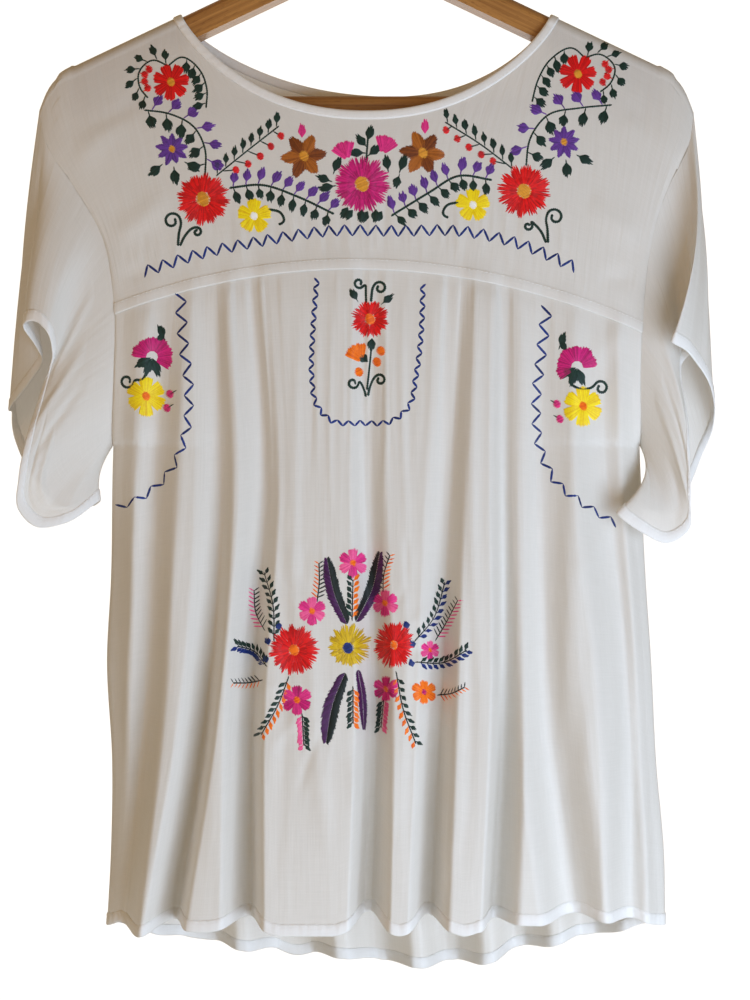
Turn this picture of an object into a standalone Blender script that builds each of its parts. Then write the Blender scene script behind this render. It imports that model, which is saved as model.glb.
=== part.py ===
"""An embroidered tunic hanging on a wooden hanger, at real size.

The tunic is cut as a front yoke, a gathered front skirt, a one-piece back, two short wide sleeves and a
neck binding. Each is a closed cloth wall. The hanger is two wooden arms, a trouser bar and a wire hook.
Sizes below are millimetres; z is measured from the top inside of the hook, x from the hanger's middle,
and the tunic's front faces -y. Left and right are as seen from the front.
"""

import math
from collections import namedtuple

import bmesh
import bpy
import numpy as np

MM = 0.001

# Cloth
WALL = 1.2
SEAM_GAP = 0.4
HEM_STEP = 0.5

# Hanger
ARM_TOP_Z = -58.0
ARM_FALL = 0.475
ARM_REACH = 228.0
ARM_HEIGHT = 22.9
ARM_DEPTH = 17.0
ARM_CORNER = 8.5
ARM_JOINT_DIP = 3.0
ARM_JOINT_REACH = 12.0
TOUCH_GAP = 0.3
LUG_FOOT_Z = -203.0
LUG_REACH = 205.0
BAR_RADIUS = 7.0
BAR_Z = -193.0
BAR_SIDES = 16
HOOK_WIRE = 4.0
HOOK_INNER_RADIUS = 20.0
HOOK_START_TURN = -58
HOOK_END_TURN = 196
HOOK_TURN_STEP = 12.5

# Neckline
NECK_HALF_WIDTH = 142.0
FRONT_NECK_DROP = 78.0
BACK_NECK_DROP = 57.0
NECK_POWER = 2.2
NECK_ROUND = 0.8
BACK_NECK_LEAN = 5.0
BINDING_WIDTH = 7.0
BINDING_WALL = 2.0
BINDING_GAP = 0.8

# Body
SHOULDER_LIFT = 1.8
WRAP_RADIUS = 11.4
DRAPE_DEPTH = 17.0
DRAPE_LENGTH = 90.0
YOKE_SEAM_Z = -322.0
YOKE_SEAM_CURVE = 0.001
YOKE_SEAM_MIDDLE = -8.0
UNDERARM_Z = -455.0
FRONT_HEM_Z = -806.0
SIDE_HEM_Z = -826.0
BACK_HEM_Z = -875.0
HEM_SAG = 0.3
EDGE_SHARE = 0.8
EDGE_POWER = 4
EDGE_FADE_Z = -300.0
FOLD_EDGE_SHARE = 0.9
FRONT_FOLD_START = 30.0
FRONT_FOLD_LENGTH = 60.0
BACK_FOLD_START = 20.0
BACK_FOLD_LENGTH = 80.0
FRONT_HEM_POWER = 6

# Sleeves
ARMHOLE_GAP = 1.0
ARMHOLE_POWER = 1.15
SLEEVE_BOW = 5.0
SLEEVE_TURN_IN = 10.0

# The side edges of the body from the front: first the armhole seams, then the side seams.
Outline = namedtuple("Outline", "z left right")
BODY_OUTLINE = [
    Outline(-198, -251, 252),
    Outline(-228, -243, 246),
    Outline(-258, -223, 231),
    Outline(-294, -202, 219),
    Outline(-342, -192, 212),
    Outline(-404, -192, 209),
    Outline(-455, -195, 211),
    Outline(-560, -197, 216),
    Outline(-620, -200, 220),
    Outline(-700, -196, 224),
    Outline(-770, -197, 230),
    Outline(-826, -200, 231),
]

# The top edge past the neck: along the hanger's arm, then down over its tip.
ShoulderPoint = namedtuple("ShoulderPoint", "x z")
SHOULDER_TIP = [
    ShoulderPoint(226, -164.0),
    ShoulderPoint(237, -171),
    ShoulderPoint(246, -183),
    ShoulderPoint(252, -198),
]

# The hanging folds of the front skirt. Each column pair is a fold's left and right foot, at the yoke
# seam, chest, waist and hem; soft is how wide its flanks are, rise how far it stands out.
FOLD_STATIONS = (-815.0, -650.0, -480.0, -335.0)
Fold = namedtuple("Fold", "seam chest waist hem soft_left soft_right rise")
FRONT_FOLDS = [
    Fold((-190, -150), (-192, -160), (-194, -168), (-200, -186), 18, 16, (2, 7, 9, 4)),
    Fold((-150, -115), (-160, -110), (-168, -120), (-186, -146), 20, 20, (3, 11, 22, 40)),
    Fold((-115, -86), (-110, -78), (-120, -88), (-144, -90), 12, 18, (3, 12, 26, 38)),
    Fold((-86, 0), (-77, 0), (-87, 4), (-87, -1), 13, 13, (4, 11, 24, 40)),
    Fold((3, 70), (2, 62), (7, 55), (4, 48), 15, 18, (1, 8, 22, 40)),
    Fold((70, 105), (63, 104), (56, 104), (49, 96), 13, 12, (4, 13, 27, 42)),
    Fold((106, 133), (105, 131), (105, 136), (98, 156), 12, 20, (4, 13, 24, 32)),
    Fold((133, 178), (132, 181), (137, 200), (158, 202), 20, 20, (3, 10, 19, 26)),
    Fold((178, 206), (182, 209), (200, 219), (202, 228), 14, 14, (2, 6, 8, 8)),
]

BACK_STATIONS = (-875.0, -650.0, -480.0, -335.0)
BACK_FOLDS = [
    Fold((-160, -120), (-165, -118), (-172, -110), (-166, -98), 22, 22, (0, 5, 17, 32)),
    Fold((-116, -60), (-110, -58), (-102, -44), (-94, -19), 24, 24, (0, 6, 20, 38)),
    Fold((-30, 20), (-40, 18), (-36, 24), (-14, 40), 24, 24, (0, 6, 21, 38)),
    Fold((20, 70), (22, 76), (28, 84), (44, 95), 22, 22, (0, 6, 20, 36)),
    Fold((74, 116), (80, 120), (88, 132), (99, 150), 22, 22, (0, 6, 19, 34)),
    Fold((130, 168), (134, 176), (138, 190), (154, 206), 22, 22, (0, 5, 16, 28)),
]

# The back hem between its folds: it dips right of the middle. Both hems hang lower on the folds' crests.
HemLevel = namedtuple("HemLevel", "x z")
BACK_HEM = [
    HemLevel(-200, -826),
    HemLevel(-110, -838),
    HemLevel(-53, -848),
    HemLevel(0, -857),
    HemLevel(43, -861),
    HemLevel(75, -858),
    HemLevel(119, -843),
    HemLevel(165, -833),
    HemLevel(231, -826),
]

# Small gathers and pressed pleats that start at the yoke seam and open out below it.
Gather = namedtuple("Gather", "first last count rise length")
GATHERS = [
    Gather(-184, -92, 11, 2.4, 110),
    Gather(-84, -50, 4, 3.0, 150),
    Gather(-40, 58, 8, 0.9, 120),
    Gather(68, 106, 4, 3.0, 150),
    Gather(112, 200, 11, 2.4, 110),
]

# Sleeve hems as closed loops seen from the front: over the top, down the front, under, up the back.
# Share is where on the armhole each one's thread starts: 0 is on the shoulder and 0.5 is under the arm.
HemPoint = namedtuple("HemPoint", "x y z share")
LEFT_SLEEVE_HEM = [
    HemPoint(-269, 2, -418, 0.00),
    HemPoint(-257, -6, -405, 0.02),
    HemPoint(-248, -10, -392, 0.035),
    HemPoint(-252, -17, -380, 0.05),
    HemPoint(-259, -26, -368, 0.065),
    HemPoint(-256, -35, -364, 0.08),
    HemPoint(-247, -39, -364, 0.10),
    HemPoint(-239, -39, -372, 0.12),
    HemPoint(-237, -29, -386, 0.15),
    HemPoint(-243, -25, -406, 0.20),
    HemPoint(-249, -30, -427, 0.25),
    HemPoint(-256, -37, -455, 0.31),
    HemPoint(-261, -37, -481, 0.36),
    HemPoint(-262, -32, -505, 0.40),
    HemPoint(-249, -27, -518, 0.43),
    HemPoint(-228, -22, -515, 0.46),
    HemPoint(-206, -8, -499, 0.50),
    HemPoint(-212, 12, -502, 0.55),
    HemPoint(-236, 24, -503, 0.62),
    HemPoint(-262, 28, -480, 0.72),
    HemPoint(-276, 25, -450, 0.82),
    HemPoint(-276, 15, -430, 0.91),
]
RIGHT_SLEEVE_HEM = [
    HemPoint(252, -26, -396, 0.00),
    HemPoint(240, -42, -386, 0.02),
    HemPoint(227, -52, -380, 0.04),
    HemPoint(234, -39, -378, 0.055),
    HemPoint(244, -30, -378, 0.07),
    HemPoint(250, -20, -382, 0.085),
    HemPoint(243, -12, -391, 0.11),
    HemPoint(240, -18, -410, 0.16),
    HemPoint(243, -30, -438, 0.23),
    HemPoint(243, -38, -466, 0.29),
    HemPoint(244, -38, -498, 0.35),
    HemPoint(241, -38, -522, 0.40),
    HemPoint(226, -39, -530, 0.43),
    HemPoint(205, -42, -521, 0.465),
    HemPoint(188, -41, -508, 0.50),
    HemPoint(205, -26, -504, 0.55),
    HemPoint(232, -2, -507, 0.62),
    HemPoint(250, 18, -492, 0.72),
    HemPoint(263, 24, -464, 0.81),
    HemPoint(271, 14, -438, 0.89),
    HemPoint(268, -2, -420, 0.94),
    HemPoint(262, -14, -408, 0.97),
]

# Mesh steps
SHARP_ANGLE = 40
PLAIN_STEP = 6.0
CLOSE_STEP = 1.3
NECK_POINTS = 29
NECK_CROWDING = 0.65
SHOULDER_POINTS = 7
DENSE_POINTS = 400
RELAX_ROUNDS = 500
RELAX_HOLD = 0.12
WRAP_ROWS = 4
YOKE_ROWS = (0, 0.028, 0.06, 0.1, 0.16, 0.26, 0.38, 0.52, 0.68, 0.84, 1)
BACK_TOP_ROWS = (0, 0.028, 0.06, 0.1, 0.17, 0.3, 0.47, 0.7, 1)
SKIRT_ROWS = (0, 0.02, 0.06, 0.12, 0.165, 0.3, 0.4, 0.5, 0.59, 0.68, 0.77, 0.86, 0.94, 0.981, 1)
BACK_ROWS = (0.08, 0.3, 0.41, 0.52, 0.63, 0.74, 0.85, 0.95, 0.984, 1)
SLEEVE_ROWS = (0, 0.09, 0.23, 0.39, 0.55, 0.7, 0.84, 0.955, 1)
SLEEVE_STEP = 9.0
BACK_WAIST_Z = -345.0

Finish = namedtuple("Finish", "colour roughness metallic")
FINISHES = {
    "rayon": Finish((0.86, 0.84, 0.81), 0.6, 0.0),
    "beech": Finish((0.55, 0.31, 0.13), 0.45, 0.0),
    "steel": Finish((0.62, 0.62, 0.64), 0.25, 1.0),
}


def clear_scene():
    for obj in list(bpy.data.objects):
        bpy.data.objects.remove(obj)


def material(name):
    made = bpy.data.materials.get(name)
    if made is None:
        made = bpy.data.materials.new(name)
        made.use_nodes = True
        shader = made.node_tree.nodes["Principled BSDF"]
        shader.inputs["Base Color"].default_value = (*FINISHES[name].colour, 1)
        shader.inputs["Roughness"].default_value = FINISHES[name].roughness
        shader.inputs["Metallic"].default_value = FINISHES[name].metallic
    return made


def add_object(name, points, faces, finish):
    """A mesh object from points in millimetres, its faces turned outwards and shaded smooth."""
    mesh = bpy.data.meshes.new(name)
    mesh.from_pydata([tuple(p) for p in np.asarray(points) * MM], [], [tuple(f) for f in faces])
    shape = bmesh.new()
    shape.from_mesh(mesh)
    bmesh.ops.recalc_face_normals(shape, faces=shape.faces)
    shape.to_mesh(mesh)
    shape.free()
    mesh.materials.append(material(finish))
    mesh.shade_smooth()
    mesh.set_sharp_from_angle(angle=math.radians(SHARP_ANGLE))
    obj = bpy.data.objects.new(name, mesh)
    bpy.context.scene.collection.objects.link(obj)
    return obj


def ease(t):
    """0 below 0, 1 above 1, and an S curve between."""
    t = np.clip(t, 0, 1)
    return t * t * (3 - 2 * t)


def along(stations, values, at):
    """A smooth curve through values at rising stations, read at any place."""
    stations, values = np.asarray(stations, float), np.asarray(values, float)
    at = np.clip(at, stations[0], stations[-1])
    slopes = np.gradient(values, stations)
    i = np.clip(np.searchsorted(stations, at) - 1, 0, len(stations) - 2)
    span = stations[i + 1] - stations[i]
    t = (at - stations[i]) / span
    lead, trail = slopes[i] * span, slopes[i + 1] * span
    start, end = values[i], values[i + 1]
    return (
        start * (2 * t**3 - 3 * t**2 + 1)
        + lead * (t**3 - 2 * t**2 + t)
        + end * (3 * t**2 - 2 * t**3)
        + trail * (t**3 - t**2)
    )


def closed_along(shares, values, at):
    """A smooth closed curve: like along, but the last value runs on into the first."""
    shares, values = list(shares), list(values)
    wrapped = [s - 1 for s in shares[-3:]] + shares + [s + 1 for s in shares[:3]]
    return along(wrapped, values[-3:] + values + values[:3], at)


def body_side(z, side):
    """x of the body's left (-1) or right (+1) edge at height z."""
    rows = BODY_OUTLINE[::-1]
    return along([r.z for r in rows], [r.left if side < 0 else r.right for r in rows], z)


def body_middle(z):
    return (body_side(z, -1) + body_side(z, 1)) / 2


def body_half(z):
    return (body_side(z, 1) - body_side(z, -1)) / 2


def shoulder_line(x):
    """z of the tunic's top edge on the hanger, run on over the neck as an arch."""
    reach = np.abs(x)
    arch = (reach**2 / NECK_HALF_WIDTH + NECK_HALF_WIDTH) / 2
    on_arm = ARM_TOP_Z + SHOULDER_LIFT - ARM_FALL * np.where(reach < NECK_HALF_WIDTH, arch, reach)
    tip = along([p.x for p in SHOULDER_TIP], [p.z for p in SHOULDER_TIP], reach)
    return np.where(reach < SHOULDER_TIP[0].x, on_arm, tip + SHOULDER_LIFT * (reach < SHOULDER_TIP[1].x))


def neckline(x, front):
    """z of the neck edge at x."""
    share = np.clip(np.abs(x) / NECK_HALF_WIDTH, 0, 1)
    drop = FRONT_NECK_DROP if front else BACK_NECK_DROP
    edge = shoulder_line(NECK_HALF_WIDTH) - drop * (1 - share**NECK_POWER) ** NECK_ROUND
    lean = 0 if front else BACK_NECK_LEAN * (x / NECK_HALF_WIDTH) * (1 - share**2) * 2
    return edge - lean


def reach_of(drop):
    """Distance along the cloth from the shoulder line, which it rounds in a quarter turn."""
    turn = np.arccos(1 - np.clip(drop, 0, WRAP_RADIUS) / WRAP_RADIUS)
    return WRAP_RADIUS * turn + np.clip(drop - WRAP_RADIUS, 0, None)


def drop_of(reach):
    """How far below the shoulder line a point is that lies this far along the cloth."""
    turn = np.clip(reach / WRAP_RADIUS, 0, math.pi / 2)
    return WRAP_RADIUS * (1 - np.cos(turn)) + np.clip(reach - WRAP_RADIUS * math.pi / 2, 0, None)


def yoke_seam(x):
    return YOKE_SEAM_Z - YOKE_SEAM_CURVE * (x - YOKE_SEAM_MIDDLE) ** 2


def hem_line(x, front):
    """z of the hem: nearly level in front, dipping behind, and lower on each fold's crest."""
    if front:
        share = np.clip(np.abs(x - body_middle(SIDE_HEM_Z)) / body_half(SIDE_HEM_Z), 0, 1)
        level = FRONT_HEM_Z + (SIDE_HEM_Z - FRONT_HEM_Z) * share**FRONT_HEM_POWER
        return level - HEM_SAG * fold_rise(x, FOLD_STATIONS[0], FRONT_FOLDS, FOLD_STATIONS)
    level = along([p.x for p in BACK_HEM], [p.z for p in BACK_HEM], x)
    return level - HEM_SAG * fold_rise(x, BACK_STATIONS[0], BACK_FOLDS, BACK_STATIONS)


def fold_feet(fold, z, stations):
    """x of a fold's left and right foot at height z."""
    pairs = (fold.hem, fold.waist, fold.chest, fold.seam)
    return [along(stations, [pair[side] for pair in pairs], z) for side in (0, 1)]


def fold_rise(x, z, folds, stations):
    """How far the hanging folds stand out from the cloth's plain depth."""
    total = np.zeros(np.broadcast(x, z).shape)
    for fold in folds:
        left, right = fold_feet(fold, z, stations)
        rise = along(stations, fold.rise[::-1], z)
        total = total + rise * ease((x - left) / fold.soft_left) * ease((right - x) / fold.soft_right)
    return total


def valleys(z, folds, stations):
    """x of the body's sides and of the valleys between its folds at height z, left to right."""
    feet = [fold_feet(fold, z, stations) for fold in folds]
    between = [(before[1] + after[0]) / 2 for before, after in zip(feet, feet[1:])]
    return [body_side(z, -1), *between, body_side(z, 1)]


def follow_folds(place, z, folds, stations):
    """x at height z of the thread that starts at place under the yoke and keeps its share of its fold."""
    start, here = valleys(stations[-1], folds, stations), valleys(z, folds, stations)
    x = here[0]
    for i in range(len(start) - 1):
        share = np.clip((place - start[i]) / (start[i + 1] - start[i]), 0, 1)
        x = x + share * (here[i + 1] - here[i])
    return x


def gather_rise(place, below):
    """The small gathers: deepest at the yoke seam, they run down along the threads."""
    total = np.zeros(np.broadcast(place, below).shape)
    for row in GATHERS:
        pitch = (row.last - row.first) / row.count
        inside = ease((place - row.first) / pitch) * ease((row.last - place) / pitch)
        wave = np.cos(2 * math.pi * (place - row.first) / pitch)
        total = total + row.rise * inside * wave * np.exp(-below / row.length)
    return total


def plain_depth(x, z):
    """The cloth's distance in front of or behind the hanger's middle plane, with no folds."""
    drop = np.clip(shoulder_line(x) - z, 0, None)
    turn = np.arccos(1 - np.clip(drop, 0, WRAP_RADIUS) / WRAP_RADIUS)
    drape = DRAPE_DEPTH * (1 - np.exp(-np.clip(drop - WRAP_RADIUS, 0, None) / DRAPE_LENGTH))
    share = np.clip(np.abs(x - body_middle(z)) / body_half(z), 0, 1)
    fade = np.clip((EDGE_FADE_Z - z) / (EDGE_FADE_Z - UNDERARM_Z), 0, 1)
    edge = EDGE_SHARE * np.sqrt(1 - fade**4)
    return (WRAP_RADIUS * np.sin(turn) + drape) * (edge + (1 - edge) * np.sqrt(1 - share**EDGE_POWER))


def body_depth(x, z, front, place=None):
    """The cloth's full depth from the middle plane, folds included, always positive."""
    share = np.clip(np.abs(x - body_middle(z)) / body_half(z), 0, 1)
    inside = 1 - ease((share - FOLD_EDGE_SHARE) / (1 - FOLD_EDGE_SHARE))
    if front:
        grown = ease((yoke_seam(x) + FRONT_FOLD_START - z) / FRONT_FOLD_LENGTH)
        rise = fold_rise(x, z, FRONT_FOLDS, FOLD_STATIONS) * grown
        if place is not None:
            rise = rise + gather_rise(place, yoke_seam(x) - z)
    else:
        grown = ease((YOKE_SEAM_Z + BACK_FOLD_START - z) / BACK_FOLD_LENGTH)
        rise = fold_rise(x, z, BACK_FOLDS, BACK_STATIONS) * grown
    return plain_depth(x, z) + rise * inside


def surface_point(x, z, front, place=None):
    """Points on a body panel's middle surface."""
    depth = body_depth(x, z, front, place) + SEAM_GAP / 2
    return np.stack([x, -depth if front else depth, z], axis=-1)


def skirt_places():
    """Where the skirt's threads start: at each valley, on each gather's crest and hollow, and between."""
    places = list(valleys(FOLD_STATIONS[-1], FRONT_FOLDS, FOLD_STATIONS))
    for row in GATHERS:
        for x in np.linspace(row.first, row.last, 2 * row.count + 1):
            if min(abs(x - place) for place in places) > CLOSE_STEP:
                places.append(x)
    places.sort()
    filled = [places[0]]
    for left, right in zip(places, places[1:]):
        count = math.ceil((right - left) / PLAIN_STEP)
        filled += list(np.linspace(left, right, count + 1)[1:])
    return np.array(filled)


def with_underarm(rows, top, bottom):
    """Row shares with one more row level with the underarm."""
    return np.array(sorted(rows + ((top - UNDERARM_Z) / (top - bottom),)))


def skirt_grid():
    place = skirt_places()
    seam_x = follow_folds(place, yoke_seam(place), FRONT_FOLDS, FOLD_STATIONS)
    top = yoke_seam(seam_x) - SEAM_GAP / 2
    bottom = hem_line(follow_folds(place, FRONT_HEM_Z, FRONT_FOLDS, FOLD_STATIONS), front=True)
    down = with_underarm(SKIRT_ROWS, top[0], SIDE_HEM_Z)
    z = top[None, :] + (bottom - top)[None, :] * down[:, None]
    x = follow_folds(place[None, :], z, FRONT_FOLDS, FOLD_STATIONS)
    return surface_point(x, z, True, place[None, :])


def reread(points, count):
    """A line of points read again along its length, closer together towards its ends."""
    steps = np.linalg.norm(np.diff(points, axis=0), axis=1)
    length = np.concatenate([[0], np.cumsum(steps)])
    even = np.linspace(0, 1, count)
    crowded = (1 - np.cos(even * math.pi)) / 2
    at = length[-1] * (even + (crowded - even) * NECK_CROWDING)
    return np.stack([np.interp(at, length, points[:, i]) for i in range(points.shape[1])], axis=-1)


def neck_edge(front, inset):
    """Points (x, drop) along the neckline, moved inset millimetres into the cloth."""
    x = NECK_HALF_WIDTH * np.sin(np.linspace(-1, 1, DENSE_POINTS) * math.pi / 2)
    z = neckline(x, front)
    drop = np.clip(shoulder_line(x) - z, 0, None)
    slope = np.gradient(z) / np.gradient(x)
    moved_x = x + inset * slope / np.hypot(1, slope)
    moved_z = z - inset / np.hypot(1, slope)
    for end, side in ((0, -1), (-1, 1)):
        moved_x[end] = x[end] + side * inset / math.hypot(1, ARM_FALL)
        drop[end] = 0
        moved_z[end] = shoulder_line(moved_x[end])
    moved_z = np.minimum(moved_z, shoulder_line(moved_x) - drop)
    line = surface_point(moved_x, moved_z, front)
    edge = reread(np.column_stack([line, shoulder_line(moved_x) - moved_z]), NECK_POINTS)
    return edge[:, 0], edge[:, 3]


def top_edge(front):
    """Points (x, drop) along a panel's top edge, armhole to armhole, just past the binding."""
    neck_x, neck_drop = neck_edge(front, BINDING_WIDTH + BINDING_GAP)
    tip = SHOULDER_TIP[-1].x
    left = np.linspace(-tip, neck_x[0], SHOULDER_POINTS + 1)[:-1]
    right = np.linspace(neck_x[-1], tip, SHOULDER_POINTS + 1)[1:]
    x = np.concatenate([left, neck_x, right])
    return x, np.concatenate([left * 0, neck_drop, right * 0])


def upper_grid(front, rows, foot_x, foot_z):
    """Heights and widths of a panel's upper part, from its top edge down to the foot line."""
    rows = np.array(rows)
    top_x, top_drop = top_edge(front)
    top = np.stack([top_x, reach_of(top_drop)], axis=-1)
    foot = np.stack([foot_x, reach_of(shoulder_line(foot_x) - foot_z)], axis=-1)
    grid = top[None] + (foot - top)[None] * rows[:, None, None]
    for column, side in ((0, -1), (-1, 1)):
        z = SHOULDER_TIP[-1].z + (foot_z[column] - SHOULDER_TIP[-1].z) * rows
        x = body_side(z, side)
        x[0] = top_x[column]
        grid[:, column] = np.stack([x, reach_of(shoulder_line(x) - z)], axis=-1)
    above, below = np.diff(rows)[:-1, None, None], np.diff(rows)[1:, None, None]
    hold = RELAX_HOLD**2 / (above * below)
    for _ in range(RELAX_ROUNDS):
        upright = (below * grid[:-2, 1:-1] + above * grid[2:, 1:-1]) / (above + below)
        level = (grid[1:-1, :-2] + grid[1:-1, 2:]) / 2
        grid[1:-1, 1:-1] = (hold * upright + level) / (hold + 1)
    on_arm = top_drop < SEAM_GAP
    close = grid[-1:, on_arm, 1] * rows[:WRAP_ROWS, None]
    grid[:WRAP_ROWS, on_arm, 1] = np.minimum(grid[:WRAP_ROWS, on_arm, 1], close)
    x = grid[..., 0]
    z = shoulder_line(x) - drop_of(grid[..., 1])
    return x, z


def yoke_grid():
    reach = body_half(YOKE_SEAM_Z)
    left, right = body_side(yoke_seam(-reach), -1), body_side(yoke_seam(reach), 1)
    foot_x = np.linspace(left, right, NECK_POINTS + 2 * SHOULDER_POINTS)
    x, z = upper_grid(True, YOKE_ROWS, foot_x, yoke_seam(foot_x) + SEAM_GAP / 2)
    return surface_point(x, z, True)


def back_grid():
    valley = valleys(BACK_WAIST_Z, BACK_FOLDS, BACK_STATIONS)
    place = np.linspace(valley[0], valley[-1], NECK_POINTS + 2 * SHOULDER_POINTS)
    for x in valley[1:-1]:
        place[np.argmin(np.abs(place - x))] = x
    level = np.full(place.shape, BACK_WAIST_Z)
    top_x, top_z = upper_grid(False, BACK_TOP_ROWS, place, level)
    hem = hem_line(follow_folds(place, BACK_HEM_Z, BACK_FOLDS, BACK_STATIONS), front=False)
    down = with_underarm(BACK_ROWS, BACK_WAIST_Z, SIDE_HEM_Z)
    z = level[None, :] + (hem - level)[None, :] * down[:, None]
    x = follow_folds(place[None, :], z, BACK_FOLDS, BACK_STATIONS)
    return surface_point(np.concatenate([top_x, x]), np.concatenate([top_z, z]), False)


def normals(grid, closed=False):
    """Unit normals of a grid of points, from the neighbours along rows and columns."""
    if closed:
        across = np.roll(grid, -1, axis=1) - np.roll(grid, 1, axis=1)
    else:
        across = np.gradient(grid, axis=1)
    down = np.gradient(grid, axis=0)
    return unit(np.cross(across, down))


def unit(vectors):
    return vectors / np.maximum(np.linalg.norm(vectors, axis=-1, keepdims=True), 1e-9)


def square_cuts(normal, grid, seam_foot):
    """Turns a body panel's edge normals so that each edge is cut square to what it meets."""
    for column in (0, -1):
        side_seam = np.abs(grid[:, column, 1]) < SEAM_GAP
        normal[side_seam, column, 1] = 0
        normal[~side_seam, column, 0] = 0
    on_shoulder = np.abs(grid[0, :, 1]) < SEAM_GAP
    normal[0, on_shoulder, 1] = 0
    if seam_foot is not None:
        normal[seam_foot, :, 2] = 0
    return unit(normal)


def wall_object(name, grid, finish, normal, thickness=WALL, closed=False, hem=False):
    """A closed cloth wall: the grid moved half a thickness to each side, and its edges joined."""
    rows, columns = grid.shape[:2]
    half = np.full((rows, columns, 1), thickness / 2)
    if hem:
        half[-2:] += HEM_STEP / 2
    points = np.concatenate([(grid + normal * half).reshape(-1, 3), (grid - normal * half).reshape(-1, 3)])
    under = rows * columns
    faces = []
    wraps = columns if closed else columns - 1
    for r in range(rows - 1):
        for c in range(wraps):
            a, b = r * columns + c, r * columns + (c + 1) % columns
            d, e = a + columns, b + columns
            faces.append((a, b, e, d))
            faces.append((under + a, under + d, under + e, under + b))
    for c in range(wraps):
        for r in (0, rows - 1):
            a, b = r * columns + c, r * columns + (c + 1) % columns
            faces.append((a, under + a, under + b, b))
    if not closed:
        for r in range(rows - 1):
            for c in (0, columns - 1):
                a, d = r * columns + c, (r + 1) * columns + c
                faces.append((a, d, under + d, under + a))
    return add_object(name, points, faces, finish)


def body_panel(name, grid, seam_foot=None, hem=False):
    normal = square_cuts(normals(grid), grid, seam_foot)
    return wall_object(name, grid, "rayon", normal, hem=hem)


def armhole(side, shares):
    """The armhole seam as a loop: share 0 on the shoulder, 0.5 under the arm, and on up the back."""
    shares = np.asarray(shares, float)
    drop = np.abs(((shares + 0.5) % 1) - 0.5) * 2
    top_z = float(shoulder_line(SHOULDER_TIP[-1].x))
    z = top_z + (UNDERARM_Z - top_z) * np.sin(drop * math.pi / 2) ** ARMHOLE_POWER
    x = body_side(z, side)
    depth = plain_depth(x, z)
    front = shares <= 0.5
    return np.stack([x, np.where(front, -depth, depth), z], axis=-1)


def sleeve_shares(rows):
    """Places round the sleeve: each stretch of the hem is split into about equal steps."""
    places = []
    for row, after in zip(rows, rows[1:] + rows[:1]):
        gap = math.dist(row[:3], after[:3])
        steps = max(1, round(gap / SLEEVE_STEP))
        span = (after.share - row.share) % 1
        places += [row.share + span * k / steps for k in range(steps)]
    return np.array(places)


def sleeve_grid(side):
    """The sleeve from its armhole to its hem. Where it turns in over the body it first comes forward."""
    rows = LEFT_SLEEVE_HEM if side < 0 else RIGHT_SLEEVE_HEM
    shares = sleeve_shares(rows)
    hem_shares = [r.share for r in rows]
    hem = np.stack([closed_along(hem_shares, [getattr(r, axis) for r in rows], shares) for axis in "xyz"], -1)
    start = armhole(side, shares)
    lead = unit(hem - start)
    lead[:, 0] = side * (ARMHOLE_GAP + np.clip(side * lead[:, 0], 0, None))
    start = start + lead
    down = np.array(SLEEVE_ROWS)[:, None]
    inward = ease(side * (start[:, 0] - hem[:, 0]) / SLEEVE_TURN_IN)[None, :]
    progress = [down ** (1 + inward), np.sin(down * math.pi / 2) + inward * 0, down + inward * 0]
    grid = start[None] + (hem - start)[None] * np.stack(progress, axis=-1)
    grid[..., 0] += side * SLEEVE_BOW * np.sin(down * math.pi)
    return grid


def sleeve(name, side):
    grid = sleeve_grid(side)
    return wall_object(name, grid, "rayon", normals(grid, closed=True), closed=True, hem=True)


def neck_binding():
    """The binding's ring: along the front neckline and home along the back one."""
    rows = []
    for inset in (0.0, BINDING_WIDTH / 2, BINDING_WIDTH):
        halves = []
        for front in (True, False):
            x, drop = neck_edge(front, inset)
            half = surface_point(x, shoulder_line(x) - drop, front)
            half[[0, -1], 1] = 0
            halves.append(half)
        rows.append(np.concatenate([halves[0][:-1], halves[1][::-1][:-1]]))
    grid = np.stack(rows)
    return wall_object("neck_binding", grid, "rayon", normals(grid, closed=True), BINDING_WALL, closed=True)


def arm_section():
    """The arm's upper outline (y, z) below its top line, from front to back."""
    half = ARM_DEPTH / 2
    turns = np.linspace(math.pi / 2, 0, 5)
    front = [(ARM_CORNER - half - ARM_CORNER * math.sin(a), ARM_CORNER * (math.cos(a) - 1)) for a in turns]
    return front + [(-y, z) for y, z in front[::-1]]


ArmStation = namedtuple("ArmStation", "reach top foot trim")


def arm_stations():
    """Where the arm's section changes: flat at the joint, down to the lug, and rounded at the tip."""
    def top(reach):
        return ARM_TOP_Z - ARM_FALL * reach

    joint = ARM_TOP_Z - ARM_JOINT_DIP
    lug = LUG_FOOT_Z
    return [
        ArmStation(TOUCH_GAP / 2, joint, joint - ARM_HEIGHT, 0),
        ArmStation(ARM_JOINT_REACH, top(ARM_JOINT_REACH), top(ARM_JOINT_REACH) - ARM_HEIGHT, 0),
        ArmStation(LUG_REACH - 0.1, top(LUG_REACH), top(LUG_REACH) - ARM_HEIGHT, 0),
        ArmStation(LUG_REACH, top(LUG_REACH), lug, 0),
        ArmStation(ARM_REACH - 4, top(ARM_REACH - 4), lug, 0),
        ArmStation(ARM_REACH - 1, top(ARM_REACH) - 1, lug + 1, 1),
        ArmStation(ARM_REACH, top(ARM_REACH) - 4, lug + 4, 3),
    ]


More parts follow.
